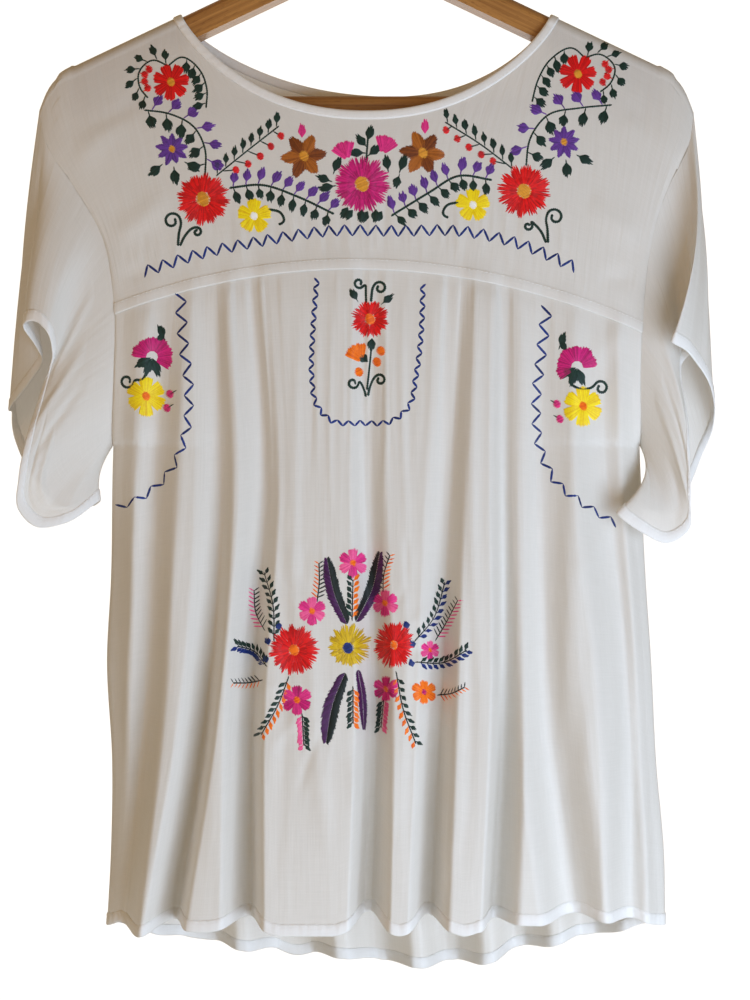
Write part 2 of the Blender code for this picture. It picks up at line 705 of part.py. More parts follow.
def hanger_arm(name, side):
    """One arm, swept out from the middle joint to its rounded tip, with a lug under the tip for the bar."""
    stations = arm_stations()
    section = arm_section()
    points, faces = [], []
    for row in stations:
        narrow = 1 - 2 * row.trim / ARM_DEPTH
        points += [(side * row.reach, y * narrow, row.top + z) for y, z in section]
        points += [(side * row.reach, y * narrow, row.foot) for y in (ARM_DEPTH / 2, -ARM_DEPTH / 2)]
    count = len(section) + 2
    for r in range(len(stations) - 1):
        for c in range(count):
            a, b = r * count + c, r * count + (c + 1) % count
            faces.append((a, b, b + count, a + count))
    faces.append(tuple(range(count)))
    faces.append(tuple(range((len(stations) - 1) * count, len(stations) * count)))
    return add_object(name, points, faces, "beech")


def hanger_bar():
    """The round trouser bar, held between the lugs."""
    turns = np.arange(BAR_SIDES) * 2 * math.pi / BAR_SIDES
    ring = np.stack([np.zeros(BAR_SIDES), BAR_RADIUS * np.cos(turns), BAR_Z + BAR_RADIUS * np.sin(turns)], -1)
    reach = LUG_REACH - TOUCH_GAP
    points = np.concatenate([ring + [x, 0, 0] for x in (-reach, reach)])
    faces = [tuple(range(BAR_SIDES)), tuple(range(BAR_SIDES, 2 * BAR_SIDES))]
    for c in range(BAR_SIDES):
        d = (c + 1) % BAR_SIDES
        faces.append((c, d, d + BAR_SIDES, c + BAR_SIDES))
    return add_object("hanger_bar", points, faces, "beech")


def hook_route():
    """The hook's middle line: up from the wood, out to one side, and round over the rail."""
    radius = HOOK_INNER_RADIUS + HOOK_WIRE / 2
    foot = ARM_TOP_Z - ARM_JOINT_DIP + TOUCH_GAP
    bow_foot = -HOOK_INNER_RADIUS - radius
    stem = [(0.0, z) for z in np.linspace(foot, bow_foot - 12, 3)]
    neck = [(1.4, bow_foot - 7), (5.4, bow_foot - 1.5)]
    angles = np.radians(np.arange(HOOK_START_TURN, HOOK_END_TURN, HOOK_TURN_STEP))
    bow = [(radius * math.cos(a), -HOOK_INNER_RADIUS + radius * math.sin(a)) for a in angles]
    return stem + neck + bow


def hanger_hook():
    curve = bpy.data.curves.new("hanger_hook", "CURVE")
    curve.dimensions = "3D"
    curve.bevel_depth = HOOK_WIRE / 2 * MM
    curve.bevel_resolution = 2
    curve.use_fill_caps = True
    route = hook_route()
    spline = curve.splines.new("POLY")
    spline.points.add(len(route) - 1)
    for point, (x, z) in zip(spline.points, route):
        point.co = (x * MM, 0, z * MM, 1)
    curve.materials.append(material("steel"))
    obj = bpy.data.objects.new("hanger_hook", curve)
    bpy.context.scene.collection.objects.link(obj)
    return obj


def main():
    clear_scene()
    hanger_arm("hanger_arm_left", -1)
    hanger_arm("hanger_arm_right", 1)
    hanger_bar()
    hanger_hook()
    body_panel("front_yoke", yoke_grid(), seam_foot=-1)
    body_panel("front_skirt", skirt_grid(), seam_foot=0, hem=True)
    body_panel("back", back_grid(), hem=True)
    sleeve("sleeve_left", -1)
    sleeve("sleeve_right", 1)
    neck_binding()


main()
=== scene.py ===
# %% [markdown]
# # An embroidered tunic on a wooden hanger
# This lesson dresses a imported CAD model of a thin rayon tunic. The CAD holds plain closed walls, made for
# weight and collision. Here each cloth piece becomes a thin, finely creased shell on the same form, and the
# hems, the binding, the sewing and the embroidery are added as real geometry. It could all be one sculpted
# mesh, but separate pieces follow the way the garment was cut and sewn, and each one stays easy to change.

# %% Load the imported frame
import math
from collections import namedtuple

import bpy
import numpy as np
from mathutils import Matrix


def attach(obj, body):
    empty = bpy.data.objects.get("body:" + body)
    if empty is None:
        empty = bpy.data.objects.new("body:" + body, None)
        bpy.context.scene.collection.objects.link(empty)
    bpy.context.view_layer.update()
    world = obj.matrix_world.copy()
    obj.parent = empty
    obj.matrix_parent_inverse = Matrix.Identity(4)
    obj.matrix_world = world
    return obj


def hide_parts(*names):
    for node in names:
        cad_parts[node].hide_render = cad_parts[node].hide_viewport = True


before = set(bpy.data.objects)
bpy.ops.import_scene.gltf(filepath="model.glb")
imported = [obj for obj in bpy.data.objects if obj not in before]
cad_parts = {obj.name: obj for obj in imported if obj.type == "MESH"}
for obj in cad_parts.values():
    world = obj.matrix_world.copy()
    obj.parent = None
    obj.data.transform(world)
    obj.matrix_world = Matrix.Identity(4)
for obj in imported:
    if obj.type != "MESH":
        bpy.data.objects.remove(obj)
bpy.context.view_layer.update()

print("CAD nodes:", sorted(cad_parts))

# %% [markdown]
# ## Units and small helpers
# Sizes are millimetres, with z measured from the inside of the hook, x from the hanger's middle, and the
# front facing -y. Blender works in metres, so one factor turns every point at the moment it enters a mesh.
# Curves through a few named places give smooth outlines without long lists of points.

# %% Curves, easing and directions
MM = 0.001
METRE = 1000.0


def ease(t):
    """0 below 0, 1 above 1, and an S curve between."""
    t = np.clip(t, 0, 1)
    return t * t * (3 - 2 * t)


def unit(vectors):
    return vectors / np.maximum(np.linalg.norm(vectors, axis=-1, keepdims=True), 1e-9)


def along(stations, values, at):
    """A smooth curve through values at rising stations, read at any place. Values may be points."""
    stations, values = np.asarray(stations, float), np.asarray(values, float)
    at = np.clip(at, stations[0], stations[-1])
    slopes = np.gradient(values, stations, axis=0)
    i = np.clip(np.searchsorted(stations, at) - 1, 0, len(stations) - 2)
    span = stations[i + 1] - stations[i]
    t = (at - stations[i]) / span
    if values.ndim > 1:
        shape = at.shape + (1,) * (values.ndim - 1)
        t, span = t.reshape(shape), span.reshape(shape)
    lead, trail = slopes[i] * span, slopes[i + 1] * span
    start, end = values[i], values[i + 1]
    return (
        start * (2 * t**3 - 3 * t**2 + 1)
        + lead * (t**3 - 2 * t**2 + t)
        + end * (3 * t**2 - 2 * t**3)
        + trail * (t**3 - t**2)
    )


def closed_along(shares, values, at):
    """Like along, but round a loop: the last value runs on into the first."""
    shares, values = list(shares), list(values)
    wrapped = [s - 1 for s in shares[-3:]] + shares + [s + 1 for s in shares[:3]]
    return along(wrapped, values[-3:] + values + values[:3], at)


def lengths_to(line):
    """The length of a line of points from its start to each of its points."""
    return np.concatenate([[0], np.cumsum(np.linalg.norm(np.diff(line, axis=0), axis=1))])


def length_of(line):
    return np.linalg.norm(np.diff(line, axis=0), axis=1).sum()


def read_at(where, length, line):
    """Places on a line of points, read at the lengths in where."""
    return np.stack([np.interp(where, length, line[:, i]) for i in range(line.shape[1])], axis=-1)


def resampled(line, count):
    """A line of points read again at count places evenly along its length."""
    length = lengths_to(line)
    return read_at(np.linspace(0, length[-1], count), length, line)


def turned(centre, angle, distance):
    """The place this far from centre, in the direction of angle."""
    return (centre[0] + math.cos(angle) * distance, centre[1] + math.sin(angle) * distance)


def table(kind, *rows):
    """Rows of bare numbers, each turned into the named tuple of its kind."""
    return [kind(*row) for row in rows]


# %% [markdown]
# ## The body's outline
# Seen from the front, a hanging tunic is drawn by its shoulders on the hanger, its armhole seams, its side
# seams and its two hems. Each is a short table or a formula. The CAD was built from the same sizes, so the
# shells made from them lie where the solids are.

# %% Shoulders, sides, neck and hems
Outline = namedtuple("Outline", "z left right")
BODY_OUTLINE = table(
    Outline,
    (-198, -251, 252), (-228, -243, 246), (-258, -223, 231), (-294, -202, 219), (-342, -192, 212),
    (-404, -192, 209), (-455, -195, 211), (-560, -197, 216), (-620, -200, 220), (-700, -196, 224),
    (-770, -197, 230), (-826, -200, 231),
)
ShoulderPoint = namedtuple("ShoulderPoint", "x z")
SHOULDER_TIP = table(ShoulderPoint, (226, -164.0), (237, -171), (246, -183), (252, -198))
ARM_TOP_Z = -58.0
ARM_FALL = 0.475
SHOULDER_LIFT = 1.8
NECK_HALF_WIDTH = 142.0
FRONT_NECK_DROP = 78.0
BACK_NECK_DROP = 57.0
NECK_POWER = 2.2
NECK_ROUND = 0.8
BACK_NECK_LEAN = 5.0
YOKE_SEAM_Z = -322.0
YOKE_SEAM_CURVE = 0.001
YOKE_SEAM_MIDDLE = -8.0
UNDERARM_Z = -455.0
FRONT_HEM_Z = -806.0
SIDE_HEM_Z = -826.0
BACK_HEM_Z = -875.0
HEM_SAG = 0.3
BACK_HEM_SAG = 0.6
FRONT_HEM_POWER = 6


def body_side(z, side):
    """x of the body's left (-1) or right (+1) edge at height z."""
    rows = BODY_OUTLINE[::-1]
    return along([r.z for r in rows], [r.left if side < 0 else r.right for r in rows], z)


def body_middle(z):
    return (body_side(z, -1) + body_side(z, 1)) / 2


def body_half(z):
    return (body_side(z, 1) - body_side(z, -1)) / 2


def shoulder_line(x):
    """z of the tunic's top edge on the hanger, run on over the neck as an arch."""
    reach = np.abs(x)
    arch = (reach**2 / NECK_HALF_WIDTH + NECK_HALF_WIDTH) / 2
    on_arm = ARM_TOP_Z + SHOULDER_LIFT - ARM_FALL * np.where(reach < NECK_HALF_WIDTH, arch, reach)
    tip = along([p.x for p in SHOULDER_TIP], [p.z for p in SHOULDER_TIP], reach)
    return np.where(reach < SHOULDER_TIP[0].x, on_arm, tip + SHOULDER_LIFT * (reach < SHOULDER_TIP[1].x))


def neckline(x, front):
    """z of the neck edge at x."""
    share = np.clip(np.abs(x) / NECK_HALF_WIDTH, 0, 1)
    drop = FRONT_NECK_DROP if front else BACK_NECK_DROP
    edge = shoulder_line(NECK_HALF_WIDTH) - drop * (1 - share**NECK_POWER) ** NECK_ROUND
    lean = 0 if front else BACK_NECK_LEAN * (x / NECK_HALF_WIDTH) * (1 - share**2) * 2
    return edge - lean


def yoke_seam(x):
    return YOKE_SEAM_Z - YOKE_SEAM_CURVE * (x - YOKE_SEAM_MIDDLE) ** 2


def hem_line(x, front):
    """z of the hem: nearly level in front, dipping behind, and lower on each fold's crest."""
    if front:
        share = np.clip(np.abs(x - body_middle(SIDE_HEM_Z)) / body_half(SIDE_HEM_Z), 0, 1)
        level = FRONT_HEM_Z + (SIDE_HEM_Z - FRONT_HEM_Z) * share**FRONT_HEM_POWER
        return level - HEM_SAG * fold_rise(x, FOLD_STATIONS[0], FRONT_FOLDS, FOLD_STATIONS)
    level = along([p.x for p in BACK_HEM], [p.z for p in BACK_HEM], x)
    return level - BACK_HEM_SAG * fold_rise(x, BACK_STATIONS[0], BACK_FOLDS, BACK_STATIONS)


print("shoulder to front hem:", round(-FRONT_HEM_Z + float(shoulder_line(NECK_HALF_WIDTH))), "mm")

# %% [markdown]
# ## The hanging folds
# Pleats caught in the yoke seam let the skirt swing out into deep folds, which widen towards the hem. A
# cloth simulation would find folds of its own, but these have to be the ones seen, so each fold is a row of
# a table: where its two feet are at four heights, how soft its flanks are, and how far it stands out.

# %% Tables of folds and pleats
FOLD_STATIONS = (-815.0, -650.0, -480.0, -335.0)
Fold = namedtuple("Fold", "seam chest waist hem soft_left soft_right rise")
FRONT_FOLDS = [
    Fold((-190, -150), (-192, -160), (-194, -168), (-200, -186), 18, 16, (2, 7, 9, 4)),
    Fold((-150, -115), (-160, -110), (-168, -120), (-186, -146), 20, 20, (3, 11, 22, 40)),
    Fold((-115, -86), (-110, -78), (-120, -88), (-144, -90), 12, 18, (3, 12, 26, 38)),
    Fold((-86, 0), (-77, 0), (-87, 4), (-87, -1), 13, 13, (4, 11, 24, 40)),
    Fold((3, 70), (2, 62), (7, 55), (4, 48), 15, 18, (1, 8, 22, 40)),
    Fold((70, 105), (63, 104), (56, 104), (49, 96), 13, 12, (4, 13, 27, 42)),
    Fold((106, 133), (105, 131), (105, 136), (98, 156), 16, 28, (4, 13, 24, 32)),
    Fold((133, 178), (132, 181), (137, 200), (158, 202), 28, 28, (3, 10, 19, 26)),
    Fold((178, 206), (182, 209), (200, 219), (202, 228), 14, 14, (2, 6, 8, 8)),
]
BACK_STATIONS = (-875.0, -650.0, -480.0, -335.0)
BACK_FOLDS = [
    Fold((-160, -120), (-165, -118), (-172, -110), (-166, -98), 22, 22, (0, 5, 17, 32)),
    Fold((-116, -60), (-110, -58), (-102, -44), (-94, -19), 24, 24, (0, 6, 20, 38)),
    Fold((-30, 20), (-40, 18), (-36, 24), (-14, 40), 24, 24, (0, 6, 21, 38)),
    Fold((20, 70), (22, 76), (28, 84), (44, 95), 22, 22, (0, 6, 20, 36)),
    Fold((74, 116), (80, 120), (88, 132), (99, 150), 22, 22, (0, 6, 19, 34)),
    Fold((130, 168), (134, 176), (138, 190), (154, 206), 22, 22, (0, 5, 16, 28)),
]
# The back hem between its folds: it dips right of the middle. Both hems hang lower on the folds' crests.
HemLevel = namedtuple("HemLevel", "x z")
BACK_HEM = table(
    HemLevel,
    (-200, -822), (-150, -834), (-110, -840), (-53, -845), (0, -852), (43, -857), (75, -857), (119, -847),
    (165, -836), (231, -824),
)
# Small pleats caught in the yoke seam: where each crest starts, how wide its two flanks are, how far it
# stands out, and over what length it runs out. A narrow flank beside a wide one looks like cloth laid over.
Pleat = namedtuple("Pleat", "x left_flank right_flank rise length")
PLEATS = table(
    Pleat,
    (-183, 5, 7, 0.8, 70), (-164, 8, 4, 1.1, 95), (-147, 4, 8, 0.8, 60), (-131, 7, 4, 1.2, 110),
    (-118, 4, 5, 0.7, 70), (-103, 9, 2.4, 2.4, 190), (-91, 5, 2.0, 1.6, 120), (-79, 6, 2.0, 2.2, 210),
    (-64, 2.4, 10, 1.0, 120), (-38, 3, 4, 0.5, 60), (-22, 2.4, 3, 0.6, 110), (-9, 3, 2.2, 0.8, 170),
    (2, 2.2, 3, 0.7, 130), (15, 3, 2.4, 0.8, 160), (33, 4, 3, 0.5, 70), (58, 12, 2.2, 2.0, 210),
    (70, 5, 2.0, 1.5, 130), (83, 2.4, 7, 2.0, 170), (98, 9, 2.2, 2.4, 220), (112, 2.4, 7, 1.3, 130),
    (129, 7, 4, 1.0, 90), (143, 4, 5, 0.7, 60), (158, 4, 8, 1.1, 100), (176, 6, 4, 0.8, 75),
    (192, 4, 6, 0.9, 85),
)
PLEAT_SPREAD = 14.0
PLEAT_HELD = 0.3


def fold_feet(fold, z, stations):
    """x of a fold's left and right foot at height z."""
    pairs = (fold.hem, fold.waist, fold.chest, fold.seam)
    return [along(stations, [pair[side] for pair in pairs], z) for side in (0, 1)]


def fold_rise(x, z, folds, stations):
    """How far the hanging folds stand out from the cloth's plain depth."""
    total = np.zeros(np.broadcast(x, z).shape)
    for fold in folds:
        left, right = fold_feet(fold, z, stations)
        rise = along(stations, fold.rise[::-1], z)
        total = total + rise * ease((x - left) / fold.soft_left) * ease((right - x) / fold.soft_right)
    return total


def valleys(z, folds, stations):
    """x of the body's sides and of the valleys between its folds at height z, left to right."""
    feet = [fold_feet(fold, z, stations) for fold in folds]
    between = [(before[1] + after[0]) / 2 for before, after in zip(feet, feet[1:])]
    return [body_side(z, -1), *between, body_side(z, 1)]


def spread_between(place, before, after):
    """place moved from its share between two of the first marks to the same share between the second."""
    x = after[0]
    for i in range(len(before) - 1):
        share = np.clip((place - before[i]) / (before[i + 1] - before[i]), 0, 1)
        x = x + share * (after[i + 1] - after[i])
    return x


def follow_folds(place, z, folds, stations):
    """x at height z of the thread that starts at place under the yoke."""
    return spread_between(place, valleys(stations[-1], folds, stations), valleys(z, folds, stations))


def thread_place(x, z):
    """Where the front thread that passes (x, z) starts under the yoke: follow_folds backwards."""
    top = valleys(FOLD_STATIONS[-1], FRONT_FOLDS, FOLD_STATIONS)
    return spread_between(x, valleys(z, FRONT_FOLDS, FOLD_STATIONS), top)


def pleat_rise(place, below):
    """The small pleats: held flat by the seam, deepest just under it, then running out."""
    total = np.zeros(np.broadcast(place, below).shape)
    opening = PLEAT_HELD + (1 - PLEAT_HELD) * ease(below / PLEAT_SPREAD)
    for pleat in PLEATS:
        flank = np.where(place < pleat.x, pleat.left_flank, pleat.right_flank)
        bump = np.exp(-(((place - pleat.x) / flank) ** 2))
        total = total + pleat.rise * bump * opening * np.exp(-np.clip(below, 0, None) / pleat.length)
    return total


# %% [markdown]
# ## Creases
# Between the big folds, thin rayon keeps soft creases from washing and wearing. Each one here is a short
# line with a width, a height and a bow, so a row can be a ridge or, with a minus, a trough. They are uneven
# on purpose: no two have the same length, depth or spacing.

# %% Tables of soft creases
Crease = namedtuple("Crease", "x0 z0 x1 z1 width rise bow")
FRONT_CREASES = table(
    Crease,
    (-196, -300, -150, -262, 9, 1.6, 4), (-205, -330, -158, -318, 7, -1.3, 3),
    (-188, -352, -150, -392, 8, 1.4, -4), (-190, -378, -160, -440, 9, -1.6, 5),
    (-225, -250, -180, -205, 10, 1.3, -5), (-214, -215, -168, -188, 7, -0.9, 2),
    (214, -300, 172, -268, 10, 1.5, -4), (212, -335, 176, -330, 7, -1.2, 3),
    (205, -360, 172, -398, 9, 1.5, 4), (236, -248, 196, -206, 10, 1.2, 6),
    (200, -190, 224, -250, 8, -1.0, -4), (-60, -250, -54, -318, 2.6, 0.5, 1),
    (-37, -262, -35, -320, 2.2, 0.5, 0), (-14, -214, -12, -320, 2.4, 0.7, 1),
    (4, -206, 2, -320, 2.2, 0.7, -1), (13, -240, 14, -320, 2.0, -0.5, 0),
    (40, -258, 44, -321, 2.4, 0.5, 1), (66, -250, 70, -321, 2.6, 0.6, -1),
    (-96, -268, -92, -326, 2.6, 0.6, 1), (104, -262, 108, -326, 2.8, 0.6, -1),
    (-24, -330, -26, -520, 2.6, 0.8, 2), (-12, -326, -14, -470, 2.2, -0.7, 1),
    (4, -326, 0, -440, 2.2, 0.8, 0), (12, -326, 14, -500, 2.4, 0.8, -2),
    (28, -330, 34, -560, 3.4, 0.9, 3), (-48, -335, -52, -600, 4.5, 1.1, 3),
    (-40, -560, -30, -745, 6.5, 1.6, 4), (-62, -520, -66, -780, 6.0, -1.5, -4),
    (24, -500, 30, -700, 5.0, 1.4, -3), (38, -610, 36, -790, 6.0, -1.4, 4),
    (84, -360, 82, -640, 4.0, 1.4, 3), (76, -520, 70, -780, 5.5, -1.5, -5),
    (118, -350, 120, -600, 4.5, 1.2, -4), (128, -560, 134, -785, 7.0, 1.8, 5),
    (160, -380, 170, -640, 7.5, 1.8, 6), (184, -470, 196, -690, 6.5, -1.8, -6),
    (205, -560, 212, -770, 6.0, 1.5, 4), (172, -640, 182, -800, 8.0, 1.8, -4),
    (-104, -350, -106, -560, 4.5, 1.2, 3), (-112, -560, -122, -780, 6.0, -1.6, 4),
    (-140, -370, -152, -620, 6.0, 1.6, -6), (-158, -560, -170, -770, 7.0, -1.7, 5),
    (-178, -430, -186, -690, 6.0, 1.5, 4), (-185, -470, -150, -545, 8.0, 1.6, 5),
    (196, -470, 158, -560, 8.0, 1.5, -6), (-60, -700, 30, -728, 12, 0.9, -6),
    (-20, -640, 40, -655, 10, -0.8, 5),
)
BACK_CREASES = table(
    Crease,
    (-205, -330, -150, -300, 9, 1.5, 4), (208, -325, 150, -292, 9, 1.4, -5),
    (-180, -380, -130, -430, 10, -1.6, 5), (190, -390, 140, -446, 10, 1.6, 4),
    (-60, -210, -50, -330, 6, 0.9, 2), (20, -204, 26, -360, 5, 1.0, -2), (80, -230, 76, -380, 6, -0.9, 2),
    (-110, -240, -112, -400, 6, 1.0, -3), (-90, -420, -96, -700, 6, 1.6, 4),
    (-20, -440, -24, -760, 7, -1.8, -5), (44, -430, 50, -720, 6, 1.6, 4),
    (98, -450, 108, -780, 7, -1.7, 5), (150, -460, 172, -740, 7, 1.7, -4),
    (-150, -470, -160, -760, 7, 1.6, 5),
)
CREASE_TAPER = 0.8
CREASE_END = 99.0
CrinkleBand = namedtuple("CrinkleBand", "first last top foot count width rise")
# Bands of the front where many small creases lie side by side, with how many, how wide and how high.
CRINKLE_BANDS = table(
    CrinkleBand,
    (-122, 150, -262, -318, 34, 1.8, 0.55), (-40, 60, -206, -250, 9, 2.0, 0.30),
    (-190, -100, -292, -326, 10, 2.4, 0.45), (-50, 50, -345, -490, 9, 3.0, 0.60),
    (-72, 66, -520, -570, 12, 2.8, 0.55), (-190, -90, -470, -720, 9, 6.0, 0.90),
    (90, 205, -470, -740, 11, 6.0, 0.90), (-80, 80, -670, -770, 8, 7.0, 0.80),
)
crinkle_rng = np.random.default_rng(5)


def crinkled(bands):
    """Many small creases scattered in bands: sewing thread and washing draw the cloth up like this."""
    found = []
    for band in bands:
        for k in range(band.count):
            x = band.first + (band.last - band.first) * (k + crinkle_rng.uniform(0.1, 0.9)) / band.count
            reach = (band.top - band.foot) * crinkle_rng.uniform(0.45, 1.0)
            top = band.top - (band.top - band.foot - reach) * crinkle_rng.uniform(0, 1)
            lean = crinkle_rng.uniform(-0.04, 0.04) * reach
            rise = band.rise * crinkle_rng.uniform(0.5, 1.3) * crinkle_rng.choice([-1, 1])
            width = band.width * crinkle_rng.uniform(0.7, 1.4)
            found.append(Crease(x, top, x + lean, top - reach, width, rise, lean * 0.4))
    return found


# The bouquet's thread draws the cloth into short puckers, which point away from its middle.
BOUQUET_MIDDLE = (-14.0, -619.0)
PUCKERS = 22


def puckers():
    found = []
    for k in range(PUCKERS):
        angle = 2 * math.pi * (k + crinkle_rng.uniform(-0.3, 0.3)) / PUCKERS
        near, far = crinkle_rng.uniform(38, 52), crinkle_rng.uniform(74, 108)
        ends = [turned(BOUQUET_MIDDLE, angle, reach) for reach in (near, far)]
        rise = crinkle_rng.uniform(0.5, 1.1) * (-1 if k % 2 else 1)
        found.append(Crease(*ends[0], *ends[1], crinkle_rng.uniform(3.0, 5.0), rise, 2.0))
    return found


FRONT_CREASES += crinkled(CRINKLE_BANDS) + puckers()


def crease_rise(x, z, creases):
    """The summed height of the creases at (x, z). Each tapers to nothing at its ends."""
    total = np.zeros(np.broadcast(x, z).shape)
    for c in creases:
        run_x, run_z = c.x1 - c.x0, c.z1 - c.z0
        length = math.hypot(run_x, run_z)
        t = np.clip(((x - c.x0) * run_x + (z - c.z0) * run_z) / length**2, 0, 1)
        aside = ((x - c.x0) * run_z - (z - c.z0) * run_x) / length - 4 * c.bow * t * (1 - t)
        away = np.hypot(x - c.x0 - t * run_x, z - c.z0 - t * run_z) ** 2
        beyond = away - np.clip(aside, -CREASE_END, CREASE_END) ** 2
        near = beyond < 4 * c.width**2 + CREASE_END
        ends = np.sin(math.pi * t) ** CREASE_TAPER
        total = total + c.rise * ends * np.exp(-((aside / c.width) ** 2)) * near
    return total


print("creases:", len(FRONT_CREASES), "in front,", len(BACK_CREASES), "behind")

# %% [markdown]
# ## Depth of the cloth
# The cloth rounds the hanger's arm in a quarter turn, drapes a little further out below it, and comes back
# to the middle plane at the side seams. Folds, pleats and creases add to that depth. Because depth is a
# function of x and z, the same function later lays every stitch of the embroidery on the cloth.

# %% Functions for the front and back surfaces
WRAP_RADIUS = 11.4
DRAPE_DEPTH = 17.0
DRAPE_LENGTH = 90.0
EDGE_SHARE = 0.8
EDGE_POWER = 4
EDGE_FADE_Z = -300.0
EDGE_FADE_POWER = 4
CREASE_START = 14.0
CREASE_GROWTH = 20.0
FOLD_EDGE_SHARE = 0.9
FRONT_FOLD_START = 30.0
FRONT_FOLD_LENGTH = 60.0
BACK_FOLD_START = 20.0
BACK_FOLD_LENGTH = 80.0
YOKE_LIP = 0.7
YOKE_LIP_HEIGHT = 14.0
YOKE_OVERLAP = 1.2


def side_share(x, z):
    """0 in the middle of the body and 1 at its sides."""
    return np.clip(np.abs(x - body_middle(z)) / body_half(z), 0, 1)


def plain_depth(x, z):
    """The cloth's distance in front of or behind the hanger's middle plane, with no folds."""
    drop = np.clip(shoulder_line(x) - z, 0, None)
    turn = np.arccos(1 - np.clip(drop, 0, WRAP_RADIUS) / WRAP_RADIUS)
    drape = DRAPE_DEPTH * (1 - np.exp(-np.clip(drop - WRAP_RADIUS, 0, None) / DRAPE_LENGTH))
    fade = np.clip((EDGE_FADE_Z - z) / (EDGE_FADE_Z - UNDERARM_Z), 0, 1)
    edge = EDGE_SHARE * np.sqrt(1 - fade**EDGE_FADE_POWER)
    rounded = edge + (1 - edge) * np.sqrt(1 - side_share(x, z) ** EDGE_POWER)
    return (WRAP_RADIUS * np.sin(turn) + drape) * rounded


def away_from_edge(x, z):
    return 1 - ease((side_share(x, z) - FOLD_EDGE_SHARE) / (1 - FOLD_EDGE_SHARE))


def crease_room(x, z):
    """1 where a crease may show, and 0 on the hanger's arm and at the sides."""
    return away_from_edge(x, z) * ease((shoulder_line(x) - z - CREASE_START) / CREASE_GROWTH)


def yoke_depth(x, z):
    lip = YOKE_LIP * ease((yoke_seam(x) + YOKE_LIP_HEIGHT - z) / YOKE_LIP_HEIGHT)
    grown = ease((yoke_seam(x) + FRONT_FOLD_START - z) / FRONT_FOLD_LENGTH)
    rise = fold_rise(x, z, FRONT_FOLDS, FOLD_STATIONS) * grown * away_from_edge(x, z)
    return plain_depth(x, z) + rise + lip + crease_rise(x, z, FRONT_CREASES) * crease_room(x, z)


def skirt_depth(x, z):
    grown = ease((yoke_seam(x) + FRONT_FOLD_START - z) / FRONT_FOLD_LENGTH)
    rise = fold_rise(x, z, FRONT_FOLDS, FOLD_STATIONS) * grown
    rise = rise + pleat_rise(thread_place(x, z), yoke_seam(x) - z)
    rise = rise + crease_rise(x, z, FRONT_CREASES)
    return plain_depth(x, z) + rise * away_from_edge(x, z)


def front_depth(x, z):
    """The depth of whichever front piece is at (x, z)."""
    return np.where(z > yoke_seam(x) - YOKE_OVERLAP, yoke_depth(x, z), skirt_depth(x, z))


def back_depth(x, z):
    grown = ease((YOKE_SEAM_Z + BACK_FOLD_START - z) / BACK_FOLD_LENGTH)
    rise = fold_rise(x, z, BACK_FOLDS, BACK_STATIONS) * grown * away_from_edge(x, z)
    return plain_depth(x, z) + rise + crease_rise(x, z, BACK_CREASES) * crease_room(x, z)


# %% [markdown]
# ## The camera
# The photograph was taken straight on, about level with the middle of the tunic. The picture's plane is
# where one pixel is 0.77 mm. A place read off the picture is first a place on that plane, and then the
# point where the camera's line through it meets the cloth.

# %% Camera at the photograph's place
CAMERA_PLACE = (0.0069, -1.40, -0.4975)
CAMERA_LENS = 65.3
CAMERA_SENSOR = 36.0
PIXEL = 0.77
PICTURE_WIDTH, PICTURE_HEIGHT = 750, 1000
PICTURE_Y = CAMERA_PLACE[1] / MM + PIXEL * PICTURE_HEIGHT * CAMERA_LENS / CAMERA_SENSOR

camera_data = bpy.data.cameras.new("photo_camera")
camera_data.lens = CAMERA_LENS
camera_data.sensor_width = CAMERA_SENSOR
camera = bpy.data.objects.new("photo_camera", camera_data)
camera.location = CAMERA_PLACE
camera.rotation_euler = (math.radians(90), 0, 0)
bpy.context.scene.collection.objects.link(camera)
bpy.context.scene.camera = camera


def on_front(x, z):
    """Points on the front of the cloth behind places on the picture's plane."""
    eye_x, eye_y, eye_z = (value / MM for value in CAMERA_PLACE)
    y = np.full(np.shape(x), PICTURE_Y)
    for _ in range(4):
        scale = (y - eye_y) / (PICTURE_Y - eye_y)
        real_x, real_z = eye_x + (x - eye_x) * scale, eye_z + (z - eye_z) * scale
        y = -front_depth(real_x, real_z)
    return np.stack([real_x, y, real_z], axis=-1)


# %% [markdown]
# ## Adding nodes and turning colours
# Every finish below is a small node tree. One helper adds a node, sets it and links it, so a material reads
# as a list of steps. Colours are written as on a web page, in sRGB, and one function turns them to the
# linear values that the shader works in.

# %% Node and colour helpers
def colour(code):
    """An sRGB hex code as linear red, green, blue and alpha."""
    parts = [int(code[i : i + 2], 16) / 255 for i in (1, 3, 5)]
    linear = [p / 12.92 if p <= 0.04045 else ((p + 0.055) / 1.055) ** 2.4 for p in parts]
    return (*linear, 1.0)


def output_of(source):
    """A node's first output, or the one that a (node, output) pair names."""
    node, output = source if isinstance(source, tuple) else (source, 0)
    return node.outputs[output]


def add_node(tree, kind, values={}, links={}, **settings):
    """A shader node with its settings, its sockets' values and the nodes that feed it."""
    node = tree.nodes.new(f"ShaderNode{kind}")
    for name, value in settings.items():
        setattr(node, name, value)
    for name, value in values.items():
        node.inputs[name].default_value = value
    for name, source in links.items():
        tree.links.new(output_of(source), node.inputs[name])
    return node


def stretched_noise(tree, place, sizes, detail):
    """Noise whose grains are sizes millimetres long along each axis."""
    scale = [1 / (size * MM) for size in sizes]
    scaled = add_node(tree, "Mapping", values={"Scale": scale}, links={"Vector": place})
    return add_node(tree, "TexNoise", values={"Scale": 1.0, "Detail": detail}, links={"Vector": scaled})


def finish_with(tree, shader):
    add_node(tree, "OutputMaterial", links={"Surface": shader})


def new_material(name):
    made = bpy.data.materials.new(name)
    made.use_nodes = True
    made.node_tree.nodes.clear()
    return made, made.node_tree


